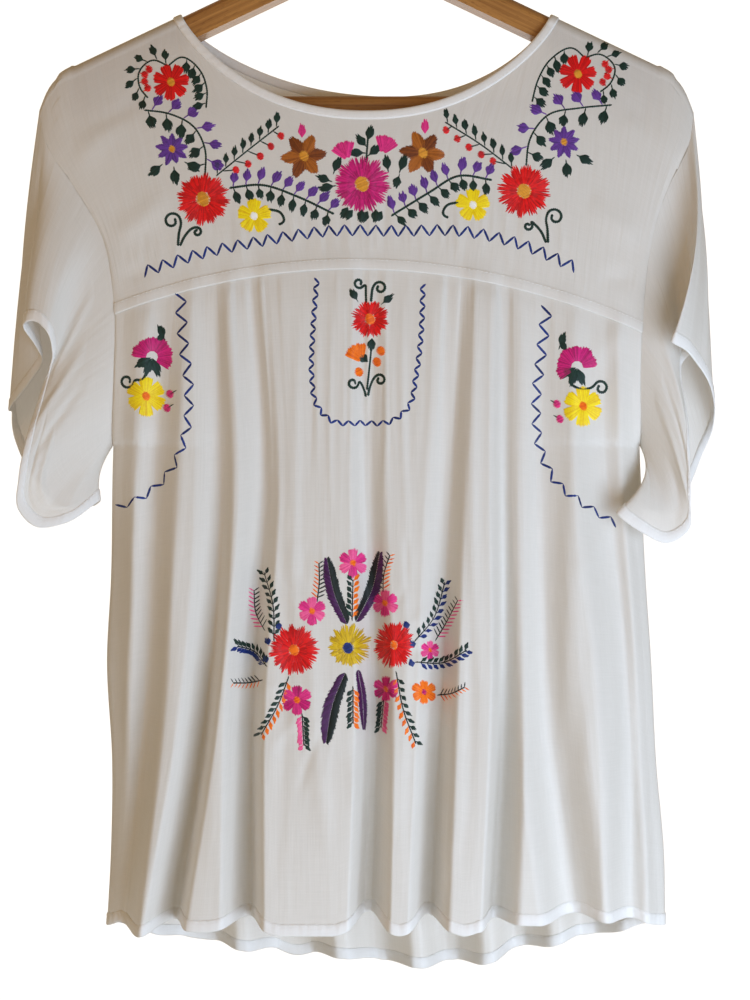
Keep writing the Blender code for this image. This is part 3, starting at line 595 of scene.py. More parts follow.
# %% [markdown]
# ## Rayon challis
# The cloth is rayon challis: a plain weave of soft spun yarn, bleached off-white, washed and line dried.
# It reflects softly, lets light through, and shows fine crinkles along the warp. Its yarns are about
# 0.3 mm apart, too fine for the picture, so the weave is drawn at 1.1 mm. Light that shines through
# comes from a translucent shader, and a small clear share lets the hanger show faintly at the shoulders.

# %% Material of the cloth
WEAVE_PITCH = 1.1
SLUB_LENGTH = 22.0
CRINKLE_WIDTH = 6.0
CRINKLE_LENGTH = 75.0
WAVE_PERIOD = 0.31416
RAYON_SINGLE = ("#EBE8E2", "#E2DFD8")
# The folded tint is lighter than the single one: painted light, for the light that the cloth layers
# underneath send back.
RAYON_DOUBLE_PAINTED_LIGHT = ("#FBFAF7", "#F4F2EE")
# The seamed tint is lighter too: painted light, for the light that the seam allowances underneath send back.
RAYON_SEAMED_PAINTED_LIGHT = ("#F1EEE8", "#E9E6DF")
RAYON_THROUGH = "#F4EEE4"
LIGHT_THROUGH = 0.16


def rayon_challis(name, light, dark, sheer):
    """Soft off-white cloth with a faint weave, slubs and crinkles. Sheer is the share that shows through."""
    made, tree = new_material(name)
    place = add_node(tree, "UVMap", uv_map="cloth")
    wave = {"Scale": WAVE_PERIOD / (WEAVE_PITCH * MM), "Distortion": 0.6, "Detail Scale": 2.0}
    warp, weft = (
        add_node(tree, "TexWave", values=wave, links={"Vector": place}, bands_direction=direction)
        for direction in "XY"
    )
    weave = add_node(tree, "Math", links={0: (warp, "Fac"), 1: (weft, "Fac")}, operation="MULTIPLY")
    down, across, crinkle = (
        stretched_noise(tree, place, (*sizes, METRE), 2.0)
        for sizes in ((WEAVE_PITCH, SLUB_LENGTH), (SLUB_LENGTH, WEAVE_PITCH), (CRINKLE_WIDTH, CRINKLE_LENGTH))
    )
    slubs = add_node(tree, "Math", links={0: down, 1: across}, operation="ADD")
    shade = add_node(tree, "MapRange", values={"From Min": 0.5, "From Max": 1.5}, links={"Value": slubs})
    tint = add_node(tree, "Mix", values={6: colour(dark), 7: colour(light)}, links={"Factor": shade},
                    data_type="RGBA")
    fine = add_node(tree, "Bump", values={"Strength": 0.3, "Distance": 0.0001}, links={"Height": weave})
    crinkled_cloth = add_node(tree, "Bump", values={"Strength": 0.42, "Distance": 0.0011},
                              links={"Height": crinkle, "Normal": fine})
    roughness = add_node(tree, "MapRange", values={"To Min": 0.52, "To Max": 0.68}, links={"Value": slubs})
    front = add_node(
        tree, "BsdfPrincipled", values={"Sheen Weight": 0.12, "Sheen Roughness": 0.4, "IOR": 1.53},
        links={"Base Color": (tint, 2), "Roughness": roughness, "Normal": crinkled_cloth},
    )
    through = add_node(tree, "BsdfTranslucent", values={"Color": colour(RAYON_THROUGH)},
                       links={"Normal": crinkled_cloth})
    lit = add_node(tree, "MixShader", values={0: LIGHT_THROUGH}, links={1: front, 2: through})
    clear = add_node(tree, "BsdfTransparent")
    finish_with(tree, add_node(tree, "MixShader", values={0: sheer}, links={1: lit, 2: clear}))
    return made


SINGLE_LAYER = rayon_challis("washed_rayon_challis", *RAYON_SINGLE, 0.06)
# Folded cloth gets the lighter tint: painted light for the layers underneath.
FOLDED_LAYERS_PAINTED_LIGHT = rayon_challis("rayon_challis_folded_double_painted_light", *RAYON_DOUBLE_PAINTED_LIGHT, 0.0)
# Pressed seams get a lighter tint: painted light for the seam allowances underneath.
SEAMED_LAYERS_PAINTED_LIGHT = rayon_challis("rayon_challis_pressed_seam_painted_light", *RAYON_SEAMED_PAINTED_LIGHT, 0.0)
print("cloth materials:", SINGLE_LAYER.name, FOLDED_LAYERS_PAINTED_LIGHT.name)

# %% [markdown]
# ## Turning a grid of points into cloth
# A woven panel is naturally a grid: columns run down the warp and rows across the weft. Meshes made this
# way shade smoothly, and each corner gets a texture place in real metres of flat cloth, so the weave keeps
# its scale on every fold. A single layer is enough for cloth this thin, and keeps the light passing through.

# %% Mesh from a grid
def put_in_scene(name, data):
    """A new object in the scene with this mesh or lamp."""
    obj = bpy.data.objects.new(name, data)
    bpy.context.scene.collection.objects.link(obj)
    return obj


def grid_faces(rows, columns, closed):
    wraps = columns if closed else columns - 1
    r, c = np.meshgrid(np.arange(rows - 1), np.arange(wraps), indexing="ij")
    a, b = r * columns + c, r * columns + (c + 1) % columns
    return np.stack([a, b, b + columns, a + columns], axis=-1).reshape(-1, 4)


def run_length(grid, axis):
    """The mean length along an axis of a grid, from its start to each place."""
    steps = np.linalg.norm(np.diff(grid, axis=axis), axis=-1).mean(axis=1 - axis)
    return np.concatenate([[0], np.cumsum(steps)])


def cloth_mesh(name, grid, finish, closed=False):
    rows, columns = grid.shape[:2]
    faces = grid_faces(rows, columns, closed)
    mesh = bpy.data.meshes.new(name)
    mesh.from_pydata((grid.reshape(-1, 3) * MM).tolist(), [], faces.tolist())
    around = np.concatenate([grid, grid[:, :1]], axis=1) if closed else grid
    across, down = run_length(around, 1) * MM, run_length(grid, 0) * MM
    wraps = around.shape[1] - 1
    r, c = np.meshgrid(np.arange(rows - 1), np.arange(wraps), indexing="ij")
    u = across[np.stack([c, c + 1, c + 1, c], axis=-1)]
    v = down[np.stack([r, r, r + 1, r + 1], axis=-1)]
    layer = mesh.uv_layers.new(name="cloth")
    layer.data.foreach_set("uv", np.stack([u, v], axis=-1).astype(np.float32).ravel())
    mesh.materials.append(finish)
    mesh.shade_smooth()
    obj = put_in_scene(name, mesh)
    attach(obj, "root")
    return obj


def area_of(obj):
    """Surface of a mesh in square metres."""
    return sum(face.area for face in obj.data.polygons)


def dress(node, grid, finish=SINGLE_LAYER, closed=False):
    """A CAD node's cloth, which takes the solid's place."""
    obj = cloth_mesh(f"{node}_cloth", grid, finish, closed)
    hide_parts(node)
    print(node, len(obj.data.polygons), "faces,", round(area_of(obj), 4), "square metres")
    return obj


def normals(grid, closed=False):
    """Unit normals of a grid, from the neighbours along its rows and columns."""
    if closed:
        across = np.roll(grid, -1, axis=1) - np.roll(grid, 1, axis=1)
    else:
        across = np.gradient(grid, axis=1)
    return unit(np.cross(across, np.gradient(grid, axis=0)))


# %% [markdown]
# ## The upper parts of front and back
# Above the folds a panel runs from the curved neck out to the armholes, so straight rows would bunch up at
# the neck. The grid is therefore laid out flat, measured along the cloth from the shoulder, and relaxed:
# each point moves to the mean of its neighbours until the spacing is even, as cloth itself settles.

# %% Relaxed grids
BINDING_WIDTH = 7.0
NECK_POINTS = 57
SHOULDER_POINTS = 14
DENSE_POINTS = 800
NECK_CROWDING = 0.65
RELAX_ROUNDS = 1500
RELAX_HOLD = 0.06
YOKE_ROWS = (0, 0.028, 0.06, 0.1, 0.16, 0.26, 0.38, 0.52, 0.68, 0.84, 1)
BACK_TOP_ROWS = (0, 0.028, 0.06, 0.1, 0.17, 0.3, 0.47, 0.7, 1)
BACK_WAIST_Z = -345.0
TUCKED_IN = 1.0


def reach_of(drop):
    """Distance along the cloth from the shoulder line, which it rounds in a quarter turn."""
    turn = np.arccos(1 - np.clip(drop, 0, WRAP_RADIUS) / WRAP_RADIUS)
    return WRAP_RADIUS * turn + np.clip(drop - WRAP_RADIUS, 0, None)


def drop_of(reach):
    turn = np.clip(reach / WRAP_RADIUS, 0, math.pi / 2)
    return WRAP_RADIUS * (1 - np.cos(turn)) + np.clip(reach - WRAP_RADIUS * math.pi / 2, 0, None)


def placed(x, z, front):
    """Points on the front or back surface."""
    return np.stack([x, -yoke_depth(x, z) if front else back_depth(x, z), z], axis=-1)


def neck_edge(front, inset, count=NECK_POINTS):
    """Points (x, drop) along the neckline, moved inset millimetres into the cloth."""
    x = NECK_HALF_WIDTH * np.sin(np.linspace(-1, 1, DENSE_POINTS) * math.pi / 2)
    z = neckline(x, front)
    drop = np.clip(shoulder_line(x) - z, 0, None)
    slope = np.gradient(z) / np.gradient(x)
    moved_x = x + inset * slope / np.hypot(1, slope)
    moved_z = z - inset / np.hypot(1, slope)
    for end, side in ((0, -1), (-1, 1)):
        moved_x[end] = x[end] + side * inset / math.hypot(1, ARM_FALL)
        drop[end] = 0
        moved_z[end] = shoulder_line(moved_x[end])
    moved_z = np.minimum(moved_z, shoulder_line(moved_x) - drop)
    line = np.column_stack([placed(moved_x, moved_z, front), shoulder_line(moved_x) - moved_z])
    length = lengths_to(line[:, :3])
    even = np.linspace(0, 1, count)
    crowded = (1 - np.cos(even * math.pi)) / 2
    at = length[-1] * (even + (crowded - even) * NECK_CROWDING)
    return np.interp(at, length, line[:, 0]), np.interp(at, length, line[:, 3])


def upper_grid(front, rows, foot_x, foot_z, finer):
    """x and z of a panel's upper part, from its top edge down to the foot line."""
    rows = np.array(rows)
    neck_x, neck_drop = neck_edge(front, BINDING_WIDTH - TUCKED_IN)
    tip = SHOULDER_TIP[-1].x
    left = np.linspace(-tip, neck_x[0], SHOULDER_POINTS + 1)[:-1]
    right = np.linspace(neck_x[-1], tip, SHOULDER_POINTS + 1)[1:]
    top_x = np.concatenate([left, neck_x, right])
    top_drop = np.concatenate([left * 0, neck_drop, right * 0])
    top = np.stack([top_x, reach_of(top_drop)], axis=-1)
    foot = np.stack([foot_x, reach_of(shoulder_line(foot_x) - foot_z)], axis=-1)
    grid = top[None] + (foot - top)[None] * rows[:, None, None]
    for column, side in ((0, -1), (-1, 1)):
        z = SHOULDER_TIP[-1].z + (foot_z[column] - SHOULDER_TIP[-1].z) * rows
        x = body_side(z, side)
        x[0] = top_x[column]
        grid[:, column] = np.stack([x, reach_of(shoulder_line(x) - z)], axis=-1)
    above, below = np.diff(rows)[:-1, None, None], np.diff(rows)[1:, None, None]
    hold = RELAX_HOLD**2 / (above * below)
    for _ in range(RELAX_ROUNDS):
        upright = (below * grid[:-2, 1:-1] + above * grid[2:, 1:-1]) / (above + below)
        level = (grid[1:-1, :-2] + grid[1:-1, 2:]) / 2
        grid[1:-1, 1:-1] = (hold * upright + level) / (hold + 1)
    row_at = np.linspace(0, len(rows) - 1, (len(rows) - 1) * finer[0] + 1)
    column_at = np.linspace(0, len(top_x) - 1, (len(top_x) - 1) * finer[1] + 1)
    grid = along(np.arange(len(rows)), grid, row_at)
    grid = np.moveaxis(along(np.arange(len(top_x)), np.moveaxis(grid, 1, 0), column_at), 0, 1)
    x = grid[..., 0]
    return x, shoulder_line(x) - drop_of(np.clip(grid[..., 1], 0, None))


# %% [markdown]
# ## Front yoke
# The yoke is a plain shaped piece that carries most of the embroidery. Its lower edge is turned over the
# pleated skirt and stitched, so it ends in a thin lip that stands a little proud of the cloth below.

# %% Front yoke
YOKE_FINER = (10, 3)

left_end = body_side(yoke_seam(-body_half(YOKE_SEAM_Z)), -1)
right_end = body_side(yoke_seam(body_half(YOKE_SEAM_Z)), 1)
seam_x = np.linspace(left_end, right_end, NECK_POINTS + 2 * SHOULDER_POINTS)
yoke_x, yoke_z = upper_grid(True, YOKE_ROWS, seam_x, yoke_seam(seam_x) - YOKE_OVERLAP, YOKE_FINER)
yoke_points = placed(yoke_x, yoke_z, True)
front_yoke = dress("front_yoke", yoke_points)

# %% [markdown]
# ## Pleated front skirt
# The skirt is cut wider than the yoke's seam and laid in small uneven pleats along it. Its columns follow
# the threads down the folds instead of falling straight, so no fold is crossed by a row of zigzag faces.
# A running mean rounds the turns of the hem, as the stiff folded edge of the cloth does.

# %% Front skirt
SKIRT_COLUMNS = 441
SKIRT_ROWS = 191
HEM_EASE = 29


def eased_hem(z, count):
    """A hem's heights with their sharp turns rounded, by a running mean over count columns."""
    padded = np.pad(z, count // 2, mode="edge")
    return np.convolve(padded, np.ones(count) / count, mode="valid")


marks = valleys(FOLD_STATIONS[-1], FRONT_FOLDS, FOLD_STATIONS)
place = np.linspace(marks[0], marks[-1], SKIRT_COLUMNS)
top_x = follow_folds(place, yoke_seam(place), FRONT_FOLDS, FOLD_STATIONS)
top = yoke_seam(top_x)
bottom = eased_hem(hem_line(follow_folds(place, FRONT_HEM_Z, FRONT_FOLDS, FOLD_STATIONS), True), HEM_EASE)
skirt_z = top + (bottom - top) * np.linspace(0, 1, SKIRT_ROWS)[:, None]
skirt_x = follow_folds(place[None, :], skirt_z, FRONT_FOLDS, FOLD_STATIONS)
skirt_points = np.stack([skirt_x, -skirt_depth(skirt_x, skirt_z), skirt_z], axis=-1)
front_skirt = dress("front_skirt", skirt_points)

# %% [markdown]
# ## Back
# The back is one piece from neck to hem, a little longer than the front. The photograph shows only the
# inside of its hem and neck, so its folds are of the same kind as the front's, but fewer and softer.

# %% Back
BACK_FINER = (7, 3)
BACK_ROWS = 171
BACK_HEM_EASE = 31

marks = valleys(BACK_WAIST_Z, BACK_FOLDS, BACK_STATIONS)
place = np.linspace(marks[0], marks[-1], NECK_POINTS + 2 * SHOULDER_POINTS)
level = np.full(place.shape, BACK_WAIST_Z)
upper_x, upper_z = upper_grid(False, BACK_TOP_ROWS, place, level, BACK_FINER)
place = upper_x[-1]
hem = eased_hem(hem_line(follow_folds(place, BACK_HEM_Z, BACK_FOLDS, BACK_STATIONS), False), BACK_HEM_EASE)
lower_z = BACK_WAIST_Z + (hem - BACK_WAIST_Z) * np.linspace(0, 1, BACK_ROWS)[1:, None]
lower_x = spread_between(place[None, :], marks, valleys(lower_z, BACK_FOLDS, BACK_STATIONS))
back_x, back_z = np.concatenate([upper_x, lower_x]), np.concatenate([upper_z, lower_z])
back_points = placed(back_x, back_z, False)
back = dress("back", back_points)

# %% [markdown]
# ## Sleeves
# Short wide sleeves are set in at the armholes and hang with their hems folded on themselves. Each hem is a
# loop of points seen from the front, and every thread runs from its place on the armhole to its place on
# that loop. Where the loop turns in over the body, the threads first come forward, as the real folds do.

# %% Sleeve tables
HemPoint = namedtuple("HemPoint", "x y z share")
LEFT_SLEEVE_HEM = table(
    HemPoint,
    (-269, 2, -418, 0.00), (-257, -6, -405, 0.02), (-248, -10, -392, 0.035), (-252, -17, -380, 0.05),
    (-259, -26, -368, 0.065), (-256, -35, -364, 0.08), (-247, -39, -364, 0.10), (-239, -39, -372, 0.12),
    (-237, -29, -386, 0.15), (-243, -25, -406, 0.20), (-249, -30, -427, 0.25), (-256, -37, -455, 0.31),
    (-261, -37, -481, 0.36), (-262, -32, -505, 0.40), (-249, -27, -518, 0.43), (-228, -22, -515, 0.46),
    (-206, -8, -499, 0.50), (-212, 12, -502, 0.55), (-236, 24, -503, 0.62), (-262, 28, -480, 0.72),
    (-276, 25, -450, 0.82), (-276, 15, -430, 0.91),
)
RIGHT_SLEEVE_HEM = table(
    HemPoint,
    (252, -26, -396, 0.00), (240, -42, -386, 0.02), (227, -52, -380, 0.04), (234, -39, -378, 0.055),
    (244, -30, -378, 0.07), (250, -20, -382, 0.085), (243, -12, -391, 0.11), (240, -18, -410, 0.16),
    (243, -30, -438, 0.23), (243, -38, -466, 0.29), (244, -38, -498, 0.35), (241, -38, -522, 0.40),
    (226, -39, -530, 0.43), (205, -42, -521, 0.465), (188, -41, -508, 0.50), (205, -26, -504, 0.55),
    (232, -2, -507, 0.62), (250, 18, -492, 0.72), (263, 24, -464, 0.81), (271, 14, -438, 0.89),
    (268, -2, -420, 0.94), (262, -14, -408, 0.97),
)
# Soft creases of a sleeve, from one place to another: share runs round it and down from seam to hem.
SleeveCrease = namedtuple("SleeveCrease", "share0 down0 share1 down1 width rise")
LEFT_SLEEVE_CREASES = table(
    SleeveCrease,
    (0.24, 0.30, 0.30, 0.95, 0.016, 1.6), (0.29, 0.25, 0.36, 0.90, 0.014, -1.4),
    (0.34, 0.55, 0.44, 0.80, 0.020, 1.6), (0.30, 0.70, 0.44, 0.92, 0.018, -1.3),
    (0.18, 0.20, 0.22, 0.80, 0.012, 1.2), (0.60, 0.20, 0.66, 0.90, 0.020, 1.8),
    (0.70, 0.30, 0.74, 0.95, 0.018, -1.6), (0.80, 0.20, 0.84, 0.90, 0.016, 1.4),
    (0.92, 0.25, 0.90, 0.90, 0.014, 1.2),
)
RIGHT_SLEEVE_CREASES = table(
    SleeveCrease,
    (0.22, 0.25, 0.26, 0.95, 0.015, 1.7), (0.27, 0.30, 0.32, 0.95, 0.013, -1.4),
    (0.31, 0.20, 0.37, 0.90, 0.015, 1.6), (0.38, 0.35, 0.42, 0.95, 0.014, -1.2),
    (0.985, 0.25, 0.985, 0.95, 0.010, 1.3), (0.03, 0.30, 0.02, 0.90, 0.008, -1.0),
    (0.62, 0.20, 0.66, 0.90, 0.020, 1.7), (0.72, 0.30, 0.76, 0.95, 0.018, -1.5),
    (0.84, 0.20, 0.86, 0.90, 0.014, 1.3),
)

# %% Sleeve shells
ARMHOLE_GAP = 0.25
ARMHOLE_POWER = 1.15
SLEEVE_BOW = 5.0
SLEEVE_TURN_IN = 10.0
SLEEVE_COLUMNS = 281
SLEEVE_ROWS = 91


def armhole(side, shares):
    """The armhole seam as a loop: share 0 on the shoulder, 0.5 under the arm, and on up the back."""
    drop = np.abs(((shares + 0.5) % 1) - 0.5) * 2
    top_z = float(shoulder_line(SHOULDER_TIP[-1].x))
    z = top_z + (UNDERARM_Z - top_z) * np.sin(drop * math.pi / 2) ** ARMHOLE_POWER
    x = body_side(z, side)
    depth = plain_depth(x, z)
    return np.stack([x, np.where(shares <= 0.5, -depth, depth), z], axis=-1)


def even_shares(rows, count):
    """Shares round the sleeve that are evenly spaced along its hem."""
    fine = np.linspace(0, 1, 4 * count + 1)
    hem = hem_loop(rows, fine % 1)
    length = lengths_to(hem)
    return np.interp(np.linspace(0, length[-1], count + 1)[:-1], length, fine)


def hem_loop(rows, shares):
    axes = [closed_along([r.share for r in rows], [getattr(r, axis) for r in rows], shares) for axis in "xyz"]
    return np.stack(axes, axis=-1)


def sleeve_creases(shares, down, creases):
    total = np.zeros((len(down), len(shares)))
    for c in creases:
        t = np.clip((down - c.down0) / (c.down1 - c.down0), 0, 1)
        middle = c.share0 + (c.share1 - c.share0) * t
        aside = np.abs(shares[None, :] - middle[:, None])
        aside = np.minimum(aside, 1 - aside)
        total += c.rise * np.sin(math.pi * t)[:, None] ** CREASE_TAPER * np.exp(-((aside / c.width) ** 2))
    return total


def sleeve_points(side):
    rows = LEFT_SLEEVE_HEM if side < 0 else RIGHT_SLEEVE_HEM
    shares = even_shares(rows, SLEEVE_COLUMNS)
    hem = hem_loop(rows, shares)
    start = armhole(side, shares)
    lead = unit(hem - start)
    lead[:, 0] = side * (ARMHOLE_GAP + np.clip(side * lead[:, 0], 0, None))
    start = start + lead * ARMHOLE_GAP
    down = np.linspace(0, 1, SLEEVE_ROWS)[:, None]
    inward = ease(side * (start[:, 0] - hem[:, 0]) / SLEEVE_TURN_IN)[None, :]
    progress = [down ** (1 + inward), np.sin(down * math.pi / 2) + inward * 0, down + inward * 0]
    grid = start[None] + (hem - start)[None] * np.stack(progress, axis=-1)
    grid[..., 0] += side * SLEEVE_BOW * np.sin(down * math.pi)
    outward = normals(grid, closed=True) * side
    creases = LEFT_SLEEVE_CREASES if side < 0 else RIGHT_SLEEVE_CREASES
    return grid + outward * sleeve_creases(shares, down[:, 0], creases)[..., None], outward


sleeves = {}
for name, side in (("sleeve_left", -1), ("sleeve_right", 1)):
    points, outward = sleeve_points(side)
    sleeves[name] = (dress(name, points, closed=True), points, outward)

# %% [markdown]
# ## Turned hems
# Each hem is the panel's own cloth folded twice and topstitched, so it is a band of three layers: stiffer,
# brighter and slightly puckered by the stitches. Its lighter tint is painted light, for the light that the
# layers underneath send back. It is made as a flat tube that follows the last 9 mm of the panel, with a
# rounded lower edge and small waves in its thickness. The yoke's turned edge is made by the same function,
# but thinner, because it is pressed flat where the skirt is sewn under it.

# %% Hem bands
SEAM_FULLNESS = 0.45
PUCKER_PITCH = 6.5
PUCKER = 0.12
PUCKER_DRIFT = 1.7
PUCKER_DRIFT_LENGTH = 31.0
HemStation = namedtuple("HemStation", "up out")
HEM_SECTION = table(
    HemStation,
    (9.0, 0.15), (8.5, 0.62), (5.0, 0.60), (1.2, 0.70), (0.0, 0.35), (0.0, -0.35), (1.2, -0.70),
    (5.0, -0.60), (8.5, -0.62), (9.0, -0.15),
)


def above_edge(grid, distance):
    """Points of a grid this far up each column from its last row, measured along the cloth."""
    last = grid[-30:][::-1]
    steps = np.linalg.norm(np.diff(last, axis=0), axis=-1)
    length = np.concatenate([np.zeros((1, grid.shape[1])), np.cumsum(steps, axis=0)])
    i = np.clip((length < distance).sum(axis=0) - 1, 0, len(last) - 2)
    c = np.arange(grid.shape[1])
    t = (distance - length[i, c]) / np.maximum(length[i + 1, c] - length[i, c], 1e-6)
    return last[i, c] + (last[i + 1, c] - last[i, c]) * t[:, None]


def hem_band(name, grid, outward, closed=False, finish=FOLDED_LAYERS_PAINTED_LIGHT, fullness=1.0):
    """A folded hem along the last row of a grid, as a closed flat tube."""
    run = lengths_to(grid[-1])
    drift = PUCKER_DRIFT * np.sin(run / PUCKER_DRIFT_LENGTH)
    pucker = PUCKER * np.sin(2 * math.pi * run / PUCKER_PITCH + drift)
    rings = []
    for station in HEM_SECTION:
        middle = above_edge(grid, station.up)
        swell = station.out + np.sign(station.out) * pucker * ease(station.up / 3)
        rings.append(middle + outward[-2] * (swell * fullness)[:, None])
    rings.append(rings[0])
    return cloth_mesh(name, np.stack(rings), finish, closed=closed)


front_out, back_out, yoke_out = -normals(skirt_points), normals(back_points), -normals(yoke_points)
# The yoke's turned edge has the lighter seamed tint: painted light for the seam allowances underneath.
yoke_edge = hem_band("yoke_edge_band", yoke_points, yoke_out, finish=SEAMED_LAYERS_PAINTED_LIGHT, fullness=SEAM_FULLNESS)
front_hem = hem_band("front_hem", skirt_points, front_out)
back_hem = hem_band("back_hem", back_points, back_out)
for name, (obj, points, outward) in sleeves.items():
    hem_band(f"{name}_hem", points, outward, closed=True)

# %% [markdown]
# ## Neck binding
# A bias strip is folded over the raw neck edge and stitched down. It is rounder than the hems, because it
# wraps the edge, and a bias strip twists a little under the foot, which leaves slanting ripples.

# %% Neck binding
BINDING_POINTS = 201
BINDING_HALF = 1.15
BINDING_SECTION = 12
RIPPLE_PITCH = 7.0
RIPPLE = 0.10
RIPPLE_DRIFT_LENGTH = 23.0
RIPPLE_SLANT = 4
BINDING_POWER = 0.6
BINDING_LINES = 5


def neck_ring(inset):
    """The closed line round the neck, this far into the cloth."""
    halves = []
    for front in (True, False):
        x, drop = neck_edge(front, inset, BINDING_POINTS)
        half = placed(x, shoulder_line(x) - drop, front)
        half[[0, -1], 1] = 0
        halves.append(half)
    return np.concatenate([halves[0][:-1], halves[1][::-1][:-1]])


rings = np.stack([neck_ring(inset) for inset in np.linspace(0, BINDING_WIDTH, BINDING_LINES)])
ring_out = -normals(rings, closed=True)
run = lengths_to(rings[2])


def across_binding(lines, share):
    """A line between the binding's first and last line, this share of the way across."""
    return along(np.arange(BINDING_LINES), lines, np.array([share * (BINDING_LINES - 1)]))[0]


section = []
for turn in np.linspace(0, 2 * math.pi, BINDING_SECTION + 1):
    across = (1 - math.cos(turn)) / 2
    height = BINDING_HALF * math.copysign(abs(math.sin(turn)) ** BINDING_POWER, math.sin(turn))
    slanted = 2 * math.pi * (run + RIPPLE_SLANT * across) / RIPPLE_PITCH
    ripple = RIPPLE * np.sin(slanted + np.sin(run / RIPPLE_DRIFT_LENGTH))
    swell = height + math.copysign(1, height) * ripple * abs(math.sin(turn))
    section.append(across_binding(rings, across) + across_binding(ring_out, across) * swell[:, None])
# The binding's folded finish has the lighter tint: painted light for the layers underneath.
dress("neck_binding", np.stack(section), FOLDED_LAYERS_PAINTED_LIGHT, closed=True)

# %% [markdown]
# ## Embroidery floss
# The flowers are worked in mercerised cotton floss: several glossy strands laid side by side. A stitch here
# is a thin ridge with pointed ends that dives into the cloth, and each has its own place between a light
# and a dark tone of the thread. Real floss is about 0.7 mm thick. It is drawn 1.25 mm wide, and the zigzag
# lines 1.8 mm wide, so that single stitches still show in the picture.

# %% Materials of the threads
STRAND_GRAIN = 1.6
FLOSS = {
    "leaf_green": ("#14362C", "#08201A"), "red": ("#EE0F12", "#B20509"),
    "gold": ("#EBA626", "#C47D12"), "yellow": ("#FFE710", "#E9BC04"),
    "olive_yellow": ("#E2BE14", "#B08A08"), "purple": ("#7040A0", "#48286E"),
    "magenta": ("#DB1F7E", "#9C0F54"), "hot_pink": ("#F23A90", "#BE1F6A"),
    "pink": ("#F9689F", "#DE4482"), "bronze": ("#B86A22", "#8A480F"),
    "brown": ("#8A4616", "#5E2C0C"), "orange": ("#FF820F", "#E45C08"),
    "navy": ("#16327E", "#0C1F56"), "plum": ("#4E1856", "#2F0C36"),
    "black_green": ("#10201C", "#070E0C"), "white": ("#FBF9F5", "#F0EDE7"),
}


def cotton_floss(name, light, dark):
    """Each stitch draws its own tone, which the fine grain of its strands shifts a little."""
    made, tree = new_material(f"cotton_floss_{name}")
    place = add_node(tree, "TexCoord")
    grain = add_node(tree, "TexNoise", values={"Scale": 1 / (STRAND_GRAIN * MM), "Detail": 2.0},
                     links={"Vector": (place, "Object")})
    strand = (add_node(tree, "Attribute", attribute_name="strand"), "Fac")
    both = add_node(tree, "Math", values={1: -0.4}, links={0: grain, 2: strand}, operation="ADD")
    spread = add_node(tree, "Math", links={0: both, 1: strand}, operation="ADD", use_clamp=True)
    tint = add_node(tree, "Mix", values={6: colour(dark), 7: colour(light)}, links={"Factor": spread},
                    data_type="RGBA")
    bump = add_node(tree, "Bump", values={"Strength": 0.5, "Distance": 0.0002}, links={"Height": grain})
    finish_with(tree, add_node(
        tree, "BsdfPrincipled",
        values={"Roughness": 0.5, "Specular IOR Level": 0.3, "Sheen Weight": 0.04, "IOR": 1.53},
        links={"Base Color": (tint, 2), "Normal": bump},
    ))
    return made


floss = {name: cotton_floss(name, light, dark) for name, (light, dark) in FLOSS.items()}
print("threads:", ", ".join(floss))

# %% [markdown]
# ## Laying stitches
# A motif is written as a list of stitches, each with two ends on the picture's plane. Only at the end are
# they laid on the cloth, all together: a few stations along each stitch are dropped onto the surface and
# lifted along its normal. A stitch that would bridge a deep valley is left out, as it lies in the fold.

# %% Strand meshes
THREAD = 1.25
THREAD_LIFT = 0.55
STRAND_FOOT = 0.03
STRAND_SWELL = 2.2
STRAND_TIP = 0.3
NORMAL_STEP = 0.5
VALLEY_STEP = 5.0
# How many stations a stitch has along it, for lengths from shortest to longest.
StitchSize = namedtuple("StitchSize", "stations shortest longest")
STITCH_SIZES = table(StitchSize, (3, 0, 5), (5, 5, 11), (9, 11, 99))
Stitch = namedtuple("Stitch", "thread x0 z0 x1 z1 width lift")
rng = np.random.default_rng(11)
sewn = {}


def sew(piece, thread, start, end, width=THREAD, lift=THREAD_LIFT):
    sewn.setdefault(piece, []).append(Stitch(thread, *start, *end, width, lift))


def strand_mesh(name, batches, materials):
    """A mesh of ridged strands. A batch is (points, normals, widths, lifts, material numbers)."""
    points, faces, slots, tones, before = [], [], [], [], 0
    for p, n, width, lift, slot in batches:
        count, stations = p.shape[:2]
        t = np.linspace(0, 1, stations)
        plump = np.clip(np.sin(math.pi * t) * STRAND_SWELL, STRAND_TIP, 1)[None, :, None]
        side = unit(np.cross(np.gradient(p, axis=1), n)) * width[:, None, None] / 2 * plump
        ridge = p + n * (lift[:, None, None] * plump)
        foot = n * STRAND_FOOT
        rows = np.stack([p - side + foot, ridge, p + side + foot], axis=2)
        points.append(rows.reshape(-1, 3))
        base = before + np.arange(count)[:, None, None] * stations * 3
        a = base + np.arange(stations - 1)[None, :, None] * 3 + np.arange(2)[None, None, :]
        faces.append(np.stack([a, a + 1, a + 4, a + 3], axis=-1).reshape(-1, 4))
        slots.append(np.repeat(slot, (stations - 1) * 2))
        tones.append(np.repeat(rng.uniform(0, 1, count), stations * 3))
        before += count * stations * 3
    mesh = bpy.data.meshes.new(name)
    mesh.from_pydata((np.concatenate(points) * MM).tolist(), [], np.concatenate(faces).tolist())
    for material in materials:
        mesh.materials.append(material)
    mesh.polygons.foreach_set("material_index", np.concatenate(slots).astype(np.int32))
    strand = mesh.attributes.new("strand", "FLOAT", "POINT")
    strand.data.foreach_set("value", np.concatenate(tones).astype(np.float32))
    mesh.shade_smooth()
    obj = put_in_scene(name, mesh)
    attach(obj, "root")
    return obj


def front_normals(points):
    """Outward normals of the front at points on it, from small steps across and down."""
    x, z = points[..., 0], points[..., 2]
    here, step, none = -front_depth(x, z), np.full(x.shape, NORMAL_STEP), np.zeros(x.shape)
    right = np.stack([step, -front_depth(x + NORMAL_STEP, z) - here, none], axis=-1)
    down = np.stack([none, -front_depth(x, z - NORMAL_STEP) - here, -step], axis=-1)
    return -unit(np.cross(right, down))


